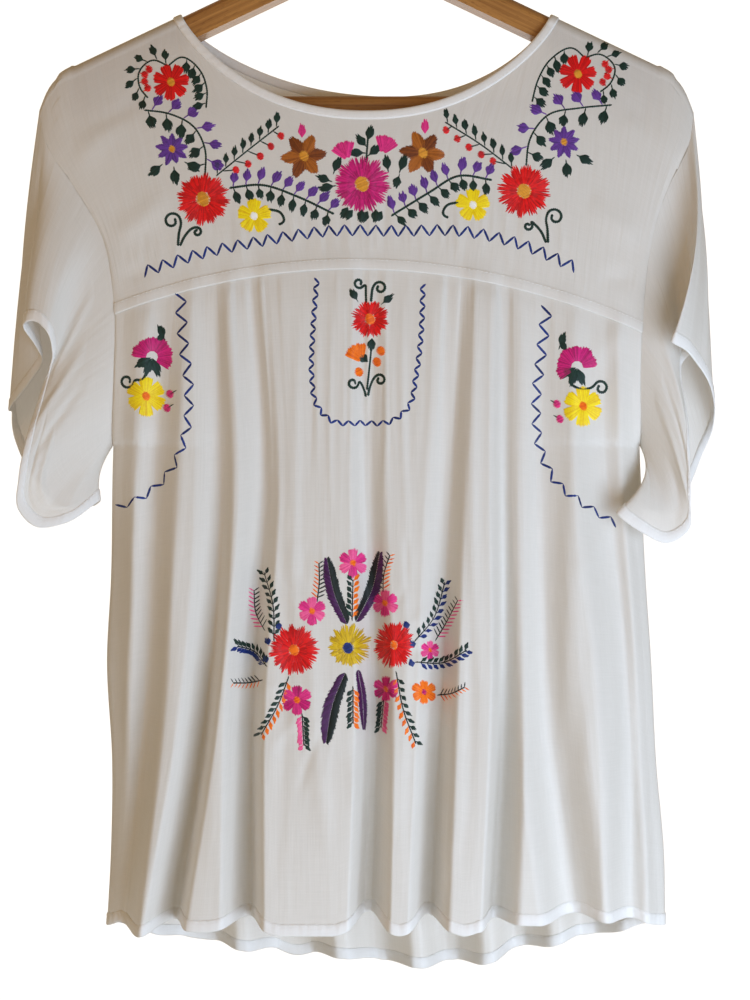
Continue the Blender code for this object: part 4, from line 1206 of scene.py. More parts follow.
def lay_on_front(piece):
    """All stitches of a piece, laid on the front and joined in one mesh."""
    stitches = sewn[piece]
    used = sorted({s.thread for s in stitches})
    numbers = {name: k for k, name in enumerate(used)}
    batches, left_out = [], 0
    for size in STITCH_SIZES:
        rows = [s for s in stitches if size.shortest <= math.hypot(s.x1 - s.x0, s.z1 - s.z0) < size.longest]
        if not rows:
            continue
        t = np.linspace(0, 1, size.stations)[None, :]
        start, end = np.array([[s.x0, s.z0] for s in rows]), np.array([[s.x1, s.z1] for s in rows])
        x = start[:, :1] + (end - start)[:, :1] * t
        z = start[:, 1:] + (end - start)[:, 1:] * t
        points = on_front(x, z)
        keep = np.abs(np.diff(points[..., 1], axis=1)).max(axis=1) < VALLEY_STEP
        left_out += int((~keep).sum())
        width, lift = np.array([s.width for s in rows]), np.array([s.lift for s in rows])
        slot = np.array([numbers[s.thread] for s in rows])
        points = points[keep]
        batches.append((points, front_normals(points), width[keep], lift[keep], slot[keep]))
    obj = strand_mesh(piece, batches, [floss[name] for name in used])
    print(piece, len(stitches), "stitches,", left_out, "hidden in folds")
    return obj


# %% [markdown]
# ## Stitches that make a motif
# Hand embroidery has a small vocabulary: satin stitches side by side fill a petal or a leaf, stem stitch
# draws a line, and short straight stitches make fern fronds. Each function below is one of these. They use
# a seeded random generator, so the work is uneven in the way of a hand, and yet the same on each run.

# %% Stitch vocabulary
# How far apart stitches lie, in widths of the thread. They overlap, so no cloth shows between them.
SPOKE_SPACING = 0.74
DOT_SPACING = 0.8
SATIN_SPACING = 0.6
LEAF_SPACING = 0.5
DOT_SLANT = 0.4
DOT_LIFT = 1.3
SWELL_TOWARDS = 0.9
LEAF_GROWTH = 1.2
STEM_POINTS = 200
STEM_SLIP = 0.22
SCROLL_TURNS = 1.15
SCROLL_STEPS = 8
SCROLL_CURL_IN = 0.62
FERN_LEAN = math.radians(58)
FEATHER_LEAN = math.radians(42)
ZIGZAG_THREAD = 1.8
ZIGZAG_LIFT = 0.4


def uneven(amount):
    """A factor near 1, different each time, for lengths that vary as a hand's do."""
    return 1 + amount * rng.uniform(-1, 1)


def squashed(place, centre, squash):
    """place moved level towards the centre: a flower seen on a fold's flank is narrower."""
    return (centre[0] + (place[0] - centre[0]) * squash, place[1])


def spokes(piece, thread, centre, inner, outer, petals=0, depth=0.0, first=0.0, squash=1.0, swell=0.0):
    """Satin stitches laid like spokes. With petals, their outer ends rise and fall. Swell grows one side."""
    count = max(6, round(2 * math.pi * (inner + 2 * outer) / 3 / (THREAD * SPOKE_SPACING)))
    for k in range(count):
        angle = 2 * math.pi * (k + rng.uniform(-0.25, 0.25)) / count
        lobe = abs(math.cos((angle - first) * petals / 2)) ** 0.6 if petals else 1
        grown = 1 + swell * math.cos(angle - SWELL_TOWARDS)
        reach = outer * (1 - depth * (1 - lobe)) * uneven(0.07) * grown
        start = turned(centre, angle, inner * uneven(0.12))
        end = turned(centre, angle + rng.uniform(-0.03, 0.03), reach)
        sew(piece, thread, squashed(start, centre, squash), squashed(end, centre, squash))


def satin_dot(piece, thread, centre, radius, squash=1.0):
    """A round patch of side-by-side stitches."""
    count = max(3, round(2 * radius / (THREAD * DOT_SPACING)))
    for k in range(count):
        offset = radius * (2 * (k + 0.5) / count - 1)
        half = math.sqrt(max(radius**2 - offset**2, 0.1)) * uneven(0.08)
        middle = turned(centre, DOT_SLANT + math.pi / 2, offset)
        start, end = (squashed(turned(middle, DOT_SLANT, way * half), centre, squash) for way in (-1, 1))
        sew(piece, thread, start, end, lift=THREAD_LIFT * DOT_LIFT)


def petal(piece, thread, root, angle, length, width, point=0.28):
    """One petal: stitches fan out from its root, the middle ones longest."""
    count = max(3, round(width / (THREAD * SATIN_SPACING)))
    across = angle + math.pi / 2
    for k in range(count):
        share = 2 * (k + 0.5) / count - 1
        start = turned(turned(root, across, share * width * 0.2), angle, length * 0.03)
        reach = length * (1 - point * share**2) * uneven(0.06)
        sew(piece, thread, start, turned(turned(root, across, share * (width - THREAD) * 0.5), angle, reach))


def leaf(piece, thread, root, angle, length, width, stalk=0.0):
    """A leaf as a tuft of satin stitches: they start close together and end in a ragged point."""
    length, width = length * LEAF_GROWTH, width * LEAF_GROWTH
    if stalk:
        sew(piece, thread, turned(root, angle, -stalk), turned(root, angle, length * 0.3), THREAD * 0.8)
    count = max(4, round(width / (THREAD * LEAF_SPACING)))
    across = angle + math.pi / 2
    for k in range(count):
        share = 2 * (k + 0.5) / count - 1
        start = turned(turned(root, across, share * width * 0.36), angle, length * 0.34 * abs(share))
        reach = length * (1 - 0.42 * share**2) * uneven(0.17)
        sew(piece, thread, start, turned(turned(root, across, share * (width - THREAD) * 0.48), angle, reach))


def line_points(points, count=60):
    """A smooth line through a few given points."""
    points = np.array(points, float)
    at = lengths_to(points)
    return resampled(along(at, points, np.linspace(0, at[-1], 8 * len(points))), count)


def stem(piece, thread, points, width=THREAD * 1.25, stitch=3.4):
    """Stem stitch: short slanting stitches that overlap along a smooth line."""
    line = line_points(points, STEM_POINTS)
    length = length_of(line)
    count = max(2, round(length / (stitch * 0.5)))
    for k in range(count):
        first = k / count
        last = min(first + stitch / length, 1)
        start, end = (line[int(round(share * (STEM_POINTS - 1)))] for share in (first, last))
        slip = unit(np.array([end[1] - start[1], start[0] - end[0]])) * STEM_SLIP
        sew(piece, thread, tuple(start + slip), tuple(end - slip), width)
    return line


def beside(line, share, off):
    """A place and a heading beside a line: off millimetres to its left, at this share of its length."""
    i = min(int(share * (len(line) - 1)), len(line) - 2)
    heading = line[i + 1] - line[i]
    angle = math.atan2(heading[1], heading[0])
    return turned(line[i], angle + math.pi / 2, off), angle


def row_of_leaves(piece, thread, line, shares, off, lean, length, width):
    """Leaves or buds set along one side of a stem, at an even lean to it."""
    for share in shares:
        root, angle = beside(line, share, off)
        heading = angle + math.copysign(lean, off)
        leaf(piece, thread, root, heading, length * uneven(0.1), width * uneven(0.1), stalk=abs(off))


def scroll(piece, foot, top, curl):
    """A stem that rises from its foot and curls in at the top round a centre."""
    start = math.atan2(top[1] - curl[1], top[0] - curl[0])
    radius = math.hypot(top[0] - curl[0], top[1] - curl[1])
    way = 1 if (top[0] - foot[0]) * (curl[0] - top[0]) <= 0 and curl[0] < top[0] else -1
    points = [foot, ((foot[0] * 2 + top[0]) / 3, (foot[1] + top[1] * 2) / 3 - 2), top]
    for k in range(1, SCROLL_STEPS + 1):
        share = k / SCROLL_STEPS
        angle = start + way * 2 * math.pi * SCROLL_TURNS * share
        points.append(turned(curl, angle, radius * (1 - SCROLL_CURL_IN * share)))
    stem(piece, "leaf_green", points, THREAD * 2.0, 2.8)


def bowed(foot, tip, bow):
    """Three points of a line whose middle is moved aside by bow."""
    return [foot, ((foot[0] + tip[0]) / 2 + bow[0], (foot[1] + tip[1]) / 2 + bow[1]), tip]


def fern(piece, foot, tip, bow, left, right, teeth, length):
    """A bowed stem with straight comb stitches on both sides."""
    line = stem(piece, "black_green", bowed(foot, tip, bow), THREAD * 0.95)
    for k in range(teeth):
        share = 0.12 + 0.86 * k / (teeth - 1)
        for side, thread in ((1, left), (-1, right)):
            root, angle = beside(line, share, 0)
            end = turned(root, angle + side * FERN_LEAN, length * (1 - 0.35 * share) * uneven(0.08))
            sew(piece, thread, root, end, THREAD * 0.85)


def feather(piece, foot, tip, bow, width, left, right):
    """A long quill filled with dense slanting satin stitches, one colour on each side."""
    line = line_points(bowed(foot, tip, bow), 120)
    length = length_of(line)
    count = round(length / (THREAD * SATIN_SPACING))
    for k in range(count):
        share = (k + 0.5) / count
        half = width / 2 * math.sin(math.pi * min(0.16 + 0.8 * share, 1)) ** 0.6
        root, angle = beside(line, share, 0)
        for side, thread in ((1, left), (-1, right)):
            sew(piece, thread, root, turned(root, angle + side * FEATHER_LEAN, half * 1.5 * uneven(0.12)))


def spray(piece, foot, tip, bow, left, right, pairs, length, width):
    """A stem with small leaves on both sides, one colour on each."""
    line = stem(piece, "black_green", bowed(foot, tip, bow), THREAD * 0.9)
    for side, thread in ((1, left), (-1, right)):
        row_of_leaves(piece, thread, line, np.linspace(0.12, 0.97, pairs), side * 0.8, 0.7, length, width)


def zigzag(piece, points, pitch, height, taper=1.0):
    """A navy machine zigzag along a smooth line: straight stitches from side to side."""
    line = line_points(points, 400)
    length = length_of(line)
    count = 2 * round(length / pitch)
    corners = []
    for k in range(count + 1):
        size = height * (1 - (1 - taper) * k / count)
        corners.append(beside(line, k / count, (0.5 if k % 2 else -0.5) * size)[0])
    for start, end in zip(corners, corners[1:]):
        sew(piece, "navy", start, end, ZIGZAG_THREAD, ZIGZAG_LIFT)


def layered_flower(piece, centre, radius, thread, petals, heart="gold", heart_share=0.3, squash=1.0,
                   swell=0.0):
    """A full flower: a long ring of spokes, a shorter one over it, and a satin heart."""
    spokes(piece, thread, centre, radius * 0.45, radius, petals, 0.22, 0.4, squash, swell)
    spokes(piece, thread, centre, radius * heart_share * 0.9, radius * 0.6, 0, 0, 0, squash, swell)
    satin_dot(piece, heart, centre, radius * heart_share, squash=squash)


def petal_flower(piece, centre, radius, thread, petals, heart="gold", first=90.0, fullness=1.0,
                 other=None, point=0.28):
    """An open flower of separate petals round a heart, every second one in the other thread if given."""
    for k in range(petals):
        angle = math.radians(first) + 2 * math.pi * k / petals
        width = 2 * math.pi * radius / petals * 0.66 * fullness
        tone = other if other and k % 2 else thread
        length = radius * 0.88 * uneven(0.06)
        petal(piece, tone, turned(centre, angle, radius * 0.12), angle, length, width, point)
    satin_dot(piece, heart, centre, radius * 0.26)


# %% [markdown]
# ## Places on the picture
# The motifs are set where the photograph shows them. A place is read off the picture in pixels and turned
# to millimetres on the picture's plane at once, so all the stitch sizes above stay real sizes.

# %% From picture to plane
def at(column, row):
    """A place on the picture's plane, in millimetres."""
    eye_x, eye_z = CAMERA_PLACE[0] / MM, CAMERA_PLACE[2] / MM
    return (eye_x + (column - PICTURE_WIDTH / 2) * PIXEL, eye_z - (row - PICTURE_HEIGHT / 2) * PIXEL)


def places(*pairs):
    return [at(*pair) for pair in pairs]


# %% [markdown]
# ## Shoulder sprays
# On each shoulder a vine draws a heart round a red flower, runs down past purple buds and a purple flower,
# and ends in a big red bloom above two scrolls. The two sides are near mirror images, so one function sews
# both from a few anchors each.

# %% Left and right shoulder sprays
Spray = namedtuple("Spray", "side heart_in heart_out flower vine purple bloom branch berries scrolls")
SPRAYS = [
    Spray(
        -1,
        places((168, 66), (181, 57), (199, 69), (207, 90), (206, 108)),
        places((168, 66), (153, 60), (139, 72), (140, 88), (148, 98)),
        at(171, 82), places((144, 110), (170, 114), (194, 127), (205, 149), (205, 176)),
        at(172, 149), at(203, 199), places((216, 176), (247, 151), (279, 126)),
        places((236, 170), (258, 158), (281, 136)),
        (at(178, 246), at(181, 222), at(172, 221), at(197, 232)),
    ),
    Spray(
        1,
        places((585, 58), (573, 48), (550, 60), (538, 80), (532, 102)),
        places((585, 58), (599, 54), (615, 68), (610, 84), (600, 92)),
        at(578, 74), places((612, 105), (580, 108), (548, 115), (530, 139), (526, 166)),
        at(564, 142), at(524, 191), places((513, 169), (480, 144), (445, 122)),
        places((493, 161), (470, 148), (446, 130)),
        (at(548, 243), at(546, 218), at(555, 217), at(528, 226)),
    ),
]


def shoulder_spray(piece, row):
    inner = stem(piece, "leaf_green", row.heart_in)
    outer = stem(piece, "leaf_green", row.heart_out)
    row_of_leaves(piece, "leaf_green", inner, np.linspace(0.3, 0.95, 6), row.side * 2.2, 1.1, 8.0, 6.4)
    row_of_leaves(piece, "leaf_green", outer, np.linspace(0.08, 0.98, 7), row.side * 3.2, 1.0, 6.6, 6.0)
    for share in (0.4, 0.56, 0.72, 0.88):
        root = beside(outer, share, -row.side * 5.0)[0]
        satin_dot(piece, "red", root, 2.9)
        sew(piece, "red", root, beside(outer, share, 0)[0], THREAD * 0.7)
    petal_flower(piece, row.flower, 14.5, "red", 7, first=60, fullness=1.15, point=0.1)
    vine = stem(piece, "leaf_green", row.vine, THREAD * 1.35)
    row_of_leaves(piece, "purple", vine, np.linspace(0.1, 0.86, 6), -row.side * 4.0, 1.1, 8.2, 8.0)
    row_of_leaves(piece, "leaf_green", vine, np.linspace(0.06, 0.9, 6), row.side * 3.4, 1.2, 8.5, 8.0)
    petal_flower(piece, row.purple, 12.5, "purple", 9, fullness=1.15, point=0.45)
    for turn in (-0.7, 0.0, 0.7):
        root = turned(row.purple, math.radians(-84) - turn, 15.5)
        leaf(piece, "leaf_green", root, math.radians(-84) - turn * 1.4, 9.5, 7.5, stalk=2)
    layered_flower(piece, row.bloom, 20.5, "red", 12, heart_share=0.28)
    branch = stem(piece, "leaf_green", row.branch, THREAD * 1.1)
    row_of_leaves(piece, "leaf_green", branch, np.linspace(0.06, 1.0, 8), -row.side * 2.6, 0.85, 7.0, 4.8)
    line = line_points(row.berries, 60)
    for share in np.linspace(0.0, 1.0, 5):
        berry = line[int(share * 59)]
        satin_dot(piece, "red", tuple(berry), 2.9)
        stalk = branch[int(min(share * 0.8 + 0.1, 1) * (STEM_POINTS - 1))]
        sew(piece, "leaf_green", tuple(stalk), tuple(berry), THREAD * 0.8)
    foot, top, curl, other = row.scrolls
    scroll(piece, foot, top, curl)
    scroll(piece, (foot[0] - row.side * 1.5, foot[1]), (other[0] + row.side * 2, other[1] + 3.5), other)


for row in SPRAYS:
    shoulder_spray("embroidery_left_shoulder" if row.side < 0 else "embroidery_right_shoulder", row)
print("shoulder sprays:", {piece: len(stitches) for piece, stitches in sewn.items()})

# %% [markdown]
# ## Flowers across the yoke
# Under the neck a magenta bloom sits between two tulips and two bronze stars, on vines that swing out to
# the shoulder sprays with purple buds above and green leaves below.

# %% Centre of the yoke
piece = "embroidery_yoke"
layered_flower(piece, at(362, 184), 22.0, "magenta", 12, heart_share=0.27)
for tulip, lean in ((at(347, 158), 0.35), (at(383, 152), -0.35)):
    for spread in (-0.5, 0.0, 0.5):
        petal(piece, "hot_pink", tulip, math.radians(90) + lean + spread, 13.0, 9.0, 0.05)
stem(piece, "leaf_green", places((366, 164), (368, 136)), THREAD * 1.5)
for column, row, angle, length in (
    (368, 140, 76, 9), (366, 146, 132, 9), (369, 155, 40, 10), (364, 153, 178, 10), (334, 172, 70, 10),
    (330, 181, 160, 9), (334, 186, 190, 10), (388, 170, 100, 9), (400, 171, 70, 11), (399, 176, -110, 8),
):
    leaf(piece, "leaf_green", at(column, row), math.radians(angle), length, 6.6, stalk=2)
for column, row, angle in (
    (348, 207, 240), (353, 210, 225), (362, 209, 262), (368, 211, 240), (376, 209, 265), (382, 211, 240),
):
    leaf(piece, "leaf_green", at(column, row), math.radians(angle), 8, 6.5)
for spot, first in ((at(304, 156), 66), (at(423, 153), 114)):
    petal_flower(piece, spot, 17.5, "bronze", 6, first=first, fullness=1.05, other="brown", point=0.6)
for spot in places((302, 138), (425, 134)):
    leaf(piece, "hot_pink", spot, math.radians(90), 9, 6)
for key in (
    places((229, 188), (262, 185), (296, 196), (334, 214)),
    places((391, 216), (430, 192), (458, 176), (492, 180)),
):
    vine = stem(piece, "leaf_green", key, THREAD * 1.7)
    shares = np.linspace(0.05, 0.95, 9)
    row_of_leaves(piece, "purple", vine, shares, 3.0, 1.3, 8.4, 6.8)
    row_of_leaves(piece, "leaf_green", vine, shares, -2.4, 1.35, 8.0, 6.4)
for spot, hook, other in (
    places((254, 216), (281, 213), (284, 222)), places((473, 205), (446, 206), (443, 215)),
):
    petal_flower(piece, spot, 13.0, "yellow", 5, heart="white", fullness=1.15, point=0.15)
    stem(piece, "leaf_green", [(spot[0] + (hook[0] - spot[0]) * 0.5, hook[1] + 3), hook, other,
                               (other[0] - (hook[0] - spot[0]) * 0.2, other[1] - 2)], THREAD * 1.9, 2.8)
zigzag(piece, places(
    (143, 272), (200, 254), (262, 241), (330, 231), (400, 231), (460, 231), (520, 244), (577, 268),
), 15.6 * PIXEL, 11.5 * PIXEL)
print(piece, len(sewn[piece]), "stitches")

# %% [markdown]
# ## Three pocket shapes
# Zigzag lines draw a pocket in the middle and half a pocket at each side seam. Nothing is cut or opened
# there: they are only sewn lines, each with a small posy inside.

# %% Pocket lines and posies
piece = "embroidery_pockets"
zigzag(piece, places(
    (317, 278), (313, 330), (312, 380), (316, 404), (330, 420), (362, 423), (392, 421), (408, 408),
    (416, 376), (421, 336), (423, 283),
), 11.4 * PIXEL, 5.6 * PIXEL)
for key in (
    places((180, 292), (183, 340), (189, 392), (186, 432), (168, 474), (142, 497), (116, 508)),
    places((547, 306), (541, 356), (536, 405), (541, 452), (556, 482), (582, 503), (618, 525)),
):
    zigzag(piece, key, 20.5 * PIXEL, 12 * PIXEL, taper=0.55)
layered_flower(piece, at(370, 319), 14.5, "red", 8, heart="orange")
for key in (places((366, 303), (365, 284), (359, 283)), places((371, 302), (373, 287), (380, 288))):
    scroll(piece, *key)
for spot, angle in ((at(357, 300), 120), (at(383, 303), 40)):
    leaf(piece, "leaf_green", spot, math.radians(angle), 8, 6, stalk=2)
stem(piece, "leaf_green", places((372, 340), (370, 362), (367, 390)), THREAD * 1.5)
leaf(piece, "leaf_green", at(372, 338), math.radians(-95), 8, 6.5)
leaf(piece, "leaf_green", at(368, 362), math.radians(140), 8, 7)
for spread in (-0.5, 0.0, 0.5):
    petal(piece, "orange", at(361, 360), math.radians(118) + spread, 13, 9, 0.05)
for spot in places((381, 351), (377, 362), (359, 372)):
    satin_dot(piece, "orange", spot, 3.6)
for key in (places((366, 397), (359, 381), (353, 383)), places((368, 396), (374, 378), (380, 380))):
    scroll(piece, *key)
print(piece, len(sewn[piece]), "stitches")

# %% Posies at the sides
Posy = namedtuple("Posy", "side carnation curl sprig bloom dots")
POSIES = [
    Posy(-1, *places((152, 357), (127, 381), (164, 338), (146, 396)), places((170, 394), (167, 408))),
    Posy(1, *places((577, 367), (601, 388), (560, 346), (583, 406)), places((557, 404), (560, 419))),
]


def posy(piece, row):
    """A magenta carnation arched over green leaves, with a yellow flower under it."""
    for k in range(6):
        angle = math.radians(90 + row.side * (k * 36 - 70))
        petal(piece, "magenta", turned(row.carnation, angle, 4.0), angle, 12.0 * uneven(0.08), 11.0, 0.12)
    for turn in (-40, 0, 40):
        heading = math.radians(250 + turn)
        leaf(piece, "leaf_green", turned(row.carnation, heading, 1), heading, 12, 7)
    leaf(piece, "leaf_green", row.sprig, math.radians(90 - row.side * 20), 9, 6, stalk=3)
    beside_sprig = (row.sprig[0] + row.side * 5, row.sprig[1] - 4)
    leaf(piece, "leaf_green", beside_sprig, math.radians(90 + row.side * 30), 8, 5)
    curl_top = (row.curl[0] - row.side * 6, row.curl[1] + 1)
    scroll(piece, turned(row.carnation, math.radians(250), 14), curl_top, row.curl)
    petal_flower(piece, row.bloom, 15.0, "yellow", 6, heart="orange", fullness=1.2, point=0.12)
    for spot in row.dots:
        satin_dot(piece, "hot_pink", spot, 3.2)
        sew(piece, "leaf_green", spot, turned(spot, math.radians(90 + row.side * 60), 6), THREAD * 0.7)


for row in POSIES:
    posy(piece, row)
print("with side posies:", len(sewn[piece]), "stitches")

# %% [markdown]
# ## Bouquet on the skirt
# The lower bouquet spreads from an olive-yellow flower between two red ones: plum quills above and below,
# small pink flowers, and ferns and sprays that reach out to both sides.

# %% Lower bouquet
piece = "embroidery_bouquet"
layered_flower(piece, at(348, 648), 16.5, "olive_yellow", 14, heart="navy", heart_share=0.27, swell=0.16)
layered_flower(piece, at(294, 650), 19.5, "red", 15, heart="orange", heart_share=0.22)
layered_flower(piece, at(394, 645), 18.5, "red", 15, heart="orange", heart_share=0.2, squash=0.84)
for spot, radius, thread in (
    ((353, 563), 11.0, "pink"), ((312, 611), 11.0, "pink"), ((385, 603), 10.5, "pink"),
    ((297, 700), 11.5, "magenta"), ((386, 689), 10.0, "magenta"), ((430, 650), 7.5, "pink"),
    ((424, 692), 9.5, "orange"),
):
    heart, other = ("magenta", None) if thread == "orange" else ("orange", "hot_pink")
    petal_flower(piece, at(*spot), radius, thread, 6, heart, 90, 1.2, other, 0.15)
for feet, bow, width, left, right in (
    (((347, 624), (327, 559)), (-2, -2), 11.0, "plum", "black_green"),
    (((356, 622), (380, 553)), (3, -2), 11.0, "black_green", "plum"),
    (((345, 673), (326, 742)), (-2, 3), 12.5, "black_green", "plum"),
    (((358, 670), (364, 729)), (1, 2), 6.5, "plum", "plum"),
):
    feather(piece, *places(*feet), bow, width, left, right)
for feet, bow, left, right, teeth, length in (
    (((317, 602), (319, 563)), (1, 0), "orange", "black_green", 9, 6.5),
    (((383, 593), (390, 555)), (-2, 0), "black_green", "orange", 9, 6.5),
    (((265, 631), (254, 590)), (-3, -1), "pink", "black_green", 10, 7.0),
    (((263, 680), (233, 683)), (0, -1), "orange", "black_green", 8, 6.0),
    (((435, 641), (458, 600)), (-1, -3), "black_green", "pink", 11, 7.0),
    (((437, 695), (465, 687)), (0, -2), "black_green", "orange", 8, 6.0),
):
    fern(piece, *places(*feet), bow, left, right, teeth, length)
big, small = (9, 4.7, 3.0), (7, 4.8, 3.2)
for feet, bow, left, right, leaves in (
    (((274, 642), (264, 572)), (3, 2), "leaf_green", "leaf_green", big),
    (((414, 642), (445, 582)), (3, -5), "leaf_green", "navy", big),
    (((267, 667), (237, 646)), (2, 4), "navy", "leaf_green", big),
    (((415, 662), (467, 650)), (2, -5), "leaf_green", "navy", big),
    (((289, 676), (261, 735)), (3, 2), "orange", "leaf_green", big),
    (((396, 671), (416, 744)), (-2, -2), "leaf_green", "orange", big),
    (((302, 713), (304, 746)), (0, 0), "leaf_green", "pink", small),
    (((384, 698), (381, 728)), (0, 0), "pink", "leaf_green", small),
    (((353, 686), (353, 724)), (0, 0), "orange", "leaf_green", small),
    (((352, 621), (353, 579)), (0, 0), "leaf_green", "orange", small),
):
    spray(piece, *places(*feet), bow, left, right, *leaves)
for spot in places((280, 630), (269, 645), (267, 663), (408, 629), (414, 648), (413, 667)):
    leaf(piece, "navy", spot, math.radians(110), 5, 5)
print(piece, len(sewn[piece]), "stitches")

# %% Lay all the embroidery
embroidery = [lay_on_front(piece) for piece in list(sewn)]
embroidery_faces = sum(len(obj.data.polygons) for obj in embroidery)
print("embroidery:", len(embroidery), "pieces,", embroidery_faces, "faces")

# %% [markdown]
# ## Topstitching
# Every turned edge is held by a line of small machine stitches in white thread, about eight to the inch.
# They hardly stand out, but they pull the cloth down between them and give the edges their crisp look.

# %% Topstitch lines
STITCH_LENGTH = 2.5
STITCH_GAP = 0.8
STITCH_WIDTH = 0.55
STITCH_RISE = 0.28
TOPSTITCH_UP = 7.6
ON_BAND = 0.62
NECK_STITCH_SHARE = 0.825
NECK_STITCH_HEIGHT = 0.95


def topstitches(name, line, outward, closed=False):
    """White stitches along a line that lies on the cloth."""
    if closed:
        line, outward = np.concatenate([line, line[:1]]), np.concatenate([outward, outward[:1]])
    length = lengths_to(line)
    starts = np.arange(0, length[-1] - STITCH_LENGTH, STITCH_LENGTH + STITCH_GAP)
    where = starts[:, None] + np.linspace(0, STITCH_LENGTH, 3)[None, :]
    points = read_at(where, length, line)
    out = unit(read_at(where, length, outward))
    count = len(starts)
    batch = (points, out, np.full(count, STITCH_WIDTH), np.full(count, STITCH_RISE), np.zeros(count, int))
    return strand_mesh(name, [batch], [floss["white"]])


def hem_stitches(name, grid, outward, closed=False):
    """Topstitches on a turned edge. The outward normals are those of the grid's last row but one."""
    return topstitches(name, above_edge(grid, TOPSTITCH_UP) + outward * ON_BAND, outward, closed)


sewing = [
    hem_stitches("front_hem_stitches", skirt_points, front_out[-2]),
    hem_stitches("back_hem_stitches", back_points, back_out[-2]),
    hem_stitches("back_hem_stitches_inside", back_points, -back_out[-2]),
]
for name, (obj, points, outward) in sleeves.items():
    sewing.append(hem_stitches(f"{name}_stitches", points, outward[-2], closed=True))
neck_line = across_binding(rings, NECK_STITCH_SHARE) + ring_out[3] * BINDING_HALF * NECK_STITCH_HEIGHT
sewing.append(topstitches("neck_stitches", neck_line, ring_out[3], closed=True))
sewing.append(hem_stitches("yoke_stitches", yoke_points, yoke_out[-2]))
print("topstitching:", len(sewing), "lines")

# %% [markdown]

# %% [markdown]
# ## The wooden hanger
# A suit hanger is sawn and moulded from beech, sanded and sprayed with clear satin lacquer. Beech has a
# warm honey colour, fine grain lines along the wood and short dark flecks. The CAD shapes are right as
# they are, so they stay and only get this finish.

# %% Beech and steel
GRAIN_WIDTH = 2.2
GRAIN_LENGTH = 90.0
FLECK_WIDTH = 0.9
FLECK_LENGTH = 6.3
BEECH_LIGHT, BEECH_DARK, BEECH_FLECK = "#BD8647", "#94622F", "#6E3F1A"
NICKEL = "#C9C8C4"
WIRE_STREAKS = 700.0


def lacquered_beech(name, tilt):
    """Honey wood with fine lines along the grain, short dark flecks, and a satin coat that softens lights."""
    made, tree = new_material(name)
    place = add_node(tree, "TexCoord")
    turned_place = add_node(tree, "Mapping", values={"Rotation": (0, tilt, 0)},
                            links={"Vector": (place, "Object")})
    lines = stretched_noise(tree, turned_place, (GRAIN_LENGTH, GRAIN_WIDTH, GRAIN_WIDTH), 4.0)
    dots = stretched_noise(tree, turned_place, (FLECK_LENGTH, FLECK_WIDTH, FLECK_WIDTH), 4.0)
    grain = add_node(tree, "MapRange", values={"From Min": 0.32, "From Max": 0.68}, links={"Value": lines})
    flecks = add_node(tree, "MapRange", values={"From Min": 0.58, "From Max": 0.72, "To Max": 0.5},
                      links={"Value": dots})
    wood = add_node(tree, "Mix", values={6: colour(BEECH_LIGHT), 7: colour(BEECH_DARK)},
                    links={"Factor": grain}, data_type="RGBA")
    flecked = add_node(tree, "Mix", values={7: colour(BEECH_FLECK)},
                       links={"Factor": flecks, 6: (wood, 2)}, data_type="RGBA")
    bump = add_node(tree, "Bump", values={"Strength": 0.3, "Distance": 0.0002}, links={"Height": lines})
    finish_with(tree, add_node(
        tree, "BsdfPrincipled",
        values={"Roughness": 0.38, "Coat Weight": 0.4, "Coat Roughness": 0.25, "IOR": 1.5},
        links={"Base Color": (flecked, 2), "Normal": bump},
    ))
    return made


def plated_wire(name):
    """Bright nickel plate over drawn steel wire: faint streaks blur its reflections."""
    made, tree = new_material(name)
    place = add_node(tree, "TexCoord")
    streaks = add_node(tree, "TexNoise", values={"Scale": WIRE_STREAKS, "Detail": 3.0},
                       links={"Vector": (place, "Object")})
    roughness = add_node(tree, "MapRange", values={"To Min": 0.16, "To Max": 0.3}, links={"Value": streaks})
    finish_with(tree, add_node(
        tree, "BsdfPrincipled", values={"Base Color": colour(NICKEL), "Metallic": 1.0},
        links={"Roughness": roughness},
    ))
    return made


slope = math.atan(ARM_FALL)
for node, finish in (
    ("hanger_arm_left", lacquered_beech("lacquered_beech_left", slope)),
    ("hanger_arm_right", lacquered_beech("lacquered_beech_right", -slope)),
    ("hanger_bar", lacquered_beech("lacquered_beech_bar", 0.0)),
    ("hanger_hook", plated_wire("nickel_plated_wire")),
):
    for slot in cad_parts[node].material_slots:
        slot.material = finish
print("hanger finished in beech and plated wire")

# %% [markdown]
# ## Studio
# The photograph is lit by cool, soft light from low on the right, with warmer room light from the upper
# left and a pale floor throwing a little up from the lower left. A fourth lamp behind lights the back of the
# tunic. The sweep of pale paper stands far enough back to leave room for views from behind. It glows by
# itself, so that it goes white, and it is left out of the light on the cloth, which would otherwise be lit
# through from behind.

# %% Backdrop
FLOOR_Z = -1.9
SWEEP_BACK = 2.4
SWEEP_BEND = 0.5
SWEEP_TOP = 1.6
SWEEP_HALF = 3.0
SWEEP_FRONT = -3.0
PAPER_GLOW = 0.85

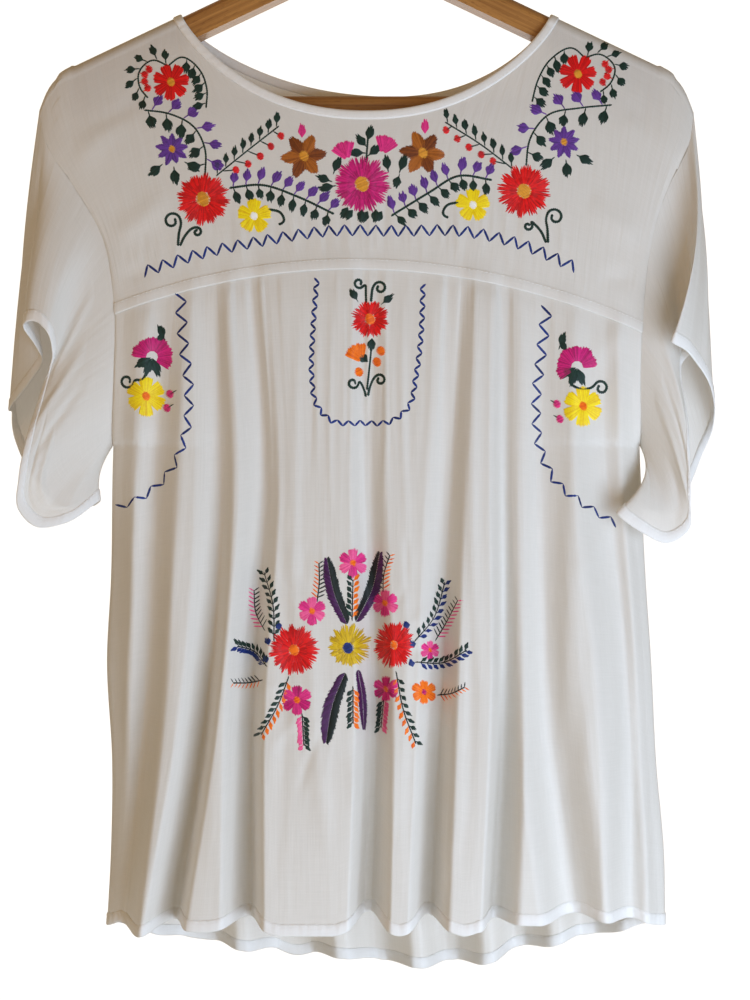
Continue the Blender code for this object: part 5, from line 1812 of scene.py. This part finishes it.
profile = [(SWEEP_FRONT, FLOOR_Z), (SWEEP_BACK - SWEEP_BEND, FLOOR_Z)]
for turn in np.linspace(0, math.pi / 2, 12)[1:]:
    profile.append((SWEEP_BACK - SWEEP_BEND + SWEEP_BEND * math.sin(turn),
                    FLOOR_Z + SWEEP_BEND * (1 - math.cos(turn))))
profile.append((SWEEP_BACK, SWEEP_TOP))
sweep = np.array([[(x, y, z) for x in (-SWEEP_HALF, SWEEP_HALF)] for y, z in profile])
sweep_mesh = bpy.data.meshes.new("paper_sweep")
sweep_mesh.from_pydata(sweep.reshape(-1, 3).tolist(), [], grid_faces(len(profile), 2, False).tolist())
sweep_mesh.shade_smooth()
paper, tree = new_material("white_paper_sweep")
finish_with(tree, add_node(tree, "BsdfPrincipled", values={
    "Base Color": colour("#F4F4F4"), "Roughness": 0.9, "Emission Color": colour("#FFFFFF"),
    "Emission Strength": PAPER_GLOW,
}))
sweep_mesh.materials.append(paper)
backdrop = put_in_scene("paper_sweep", sweep_mesh)
backdrop.visible_diffuse = False
backdrop.visible_transmission = False

# %% Lights
ROOM_TINT = "#F4DAAC"
ROOM_STRENGTH = 0.27
Lamp = namedtuple("Lamp", "name place aim size power tint")
LAMPS = [
    Lamp("window_low_right", (0.70, -0.98, -0.95), (0.08, 0.0, -0.55), 0.9, 19, "#D2E3FA"),
    Lamp("room_upper_left", (-1.2, -1.4, 0.4), (0.0, 0.0, -0.35), 1.0, 4.0, "#FFB568"),
    Lamp("pale_floor_left", (-1.2, -0.75, -1.2), (-0.1, 0.0, -0.65), 0.9, 2.5, "#F2F2F0"),
    Lamp("room_behind", (-0.7, 1.7, 0.3), (0.0, 0.0, -0.45), 1.2, 8, "#F6EEE2"),
]


def add_lamp(row):
    data = bpy.data.lights.new(row.name, "AREA")
    data.energy = row.power
    data.size = row.size
    data.color = colour(row.tint)[:3]
    lamp = put_in_scene(row.name, data)
    lamp.location = row.place
    aim = np.array(row.aim) - np.array(row.place)
    tilt, turn = math.acos(-aim[2] / np.linalg.norm(aim)), math.atan2(aim[1], aim[0]) - math.pi / 2
    lamp.rotation_euler = (tilt, 0, turn)


for row in LAMPS:
    add_lamp(row)
world = bpy.data.worlds.new("pale_room")
world.use_nodes = True
room_light = world.node_tree.nodes["Background"]
room_light.inputs["Color"].default_value = colour(ROOM_TINT)
room_light.inputs["Strength"].default_value = ROOM_STRENGTH
bpy.context.scene.world = world
bpy.context.scene.view_settings.view_transform = "Standard"
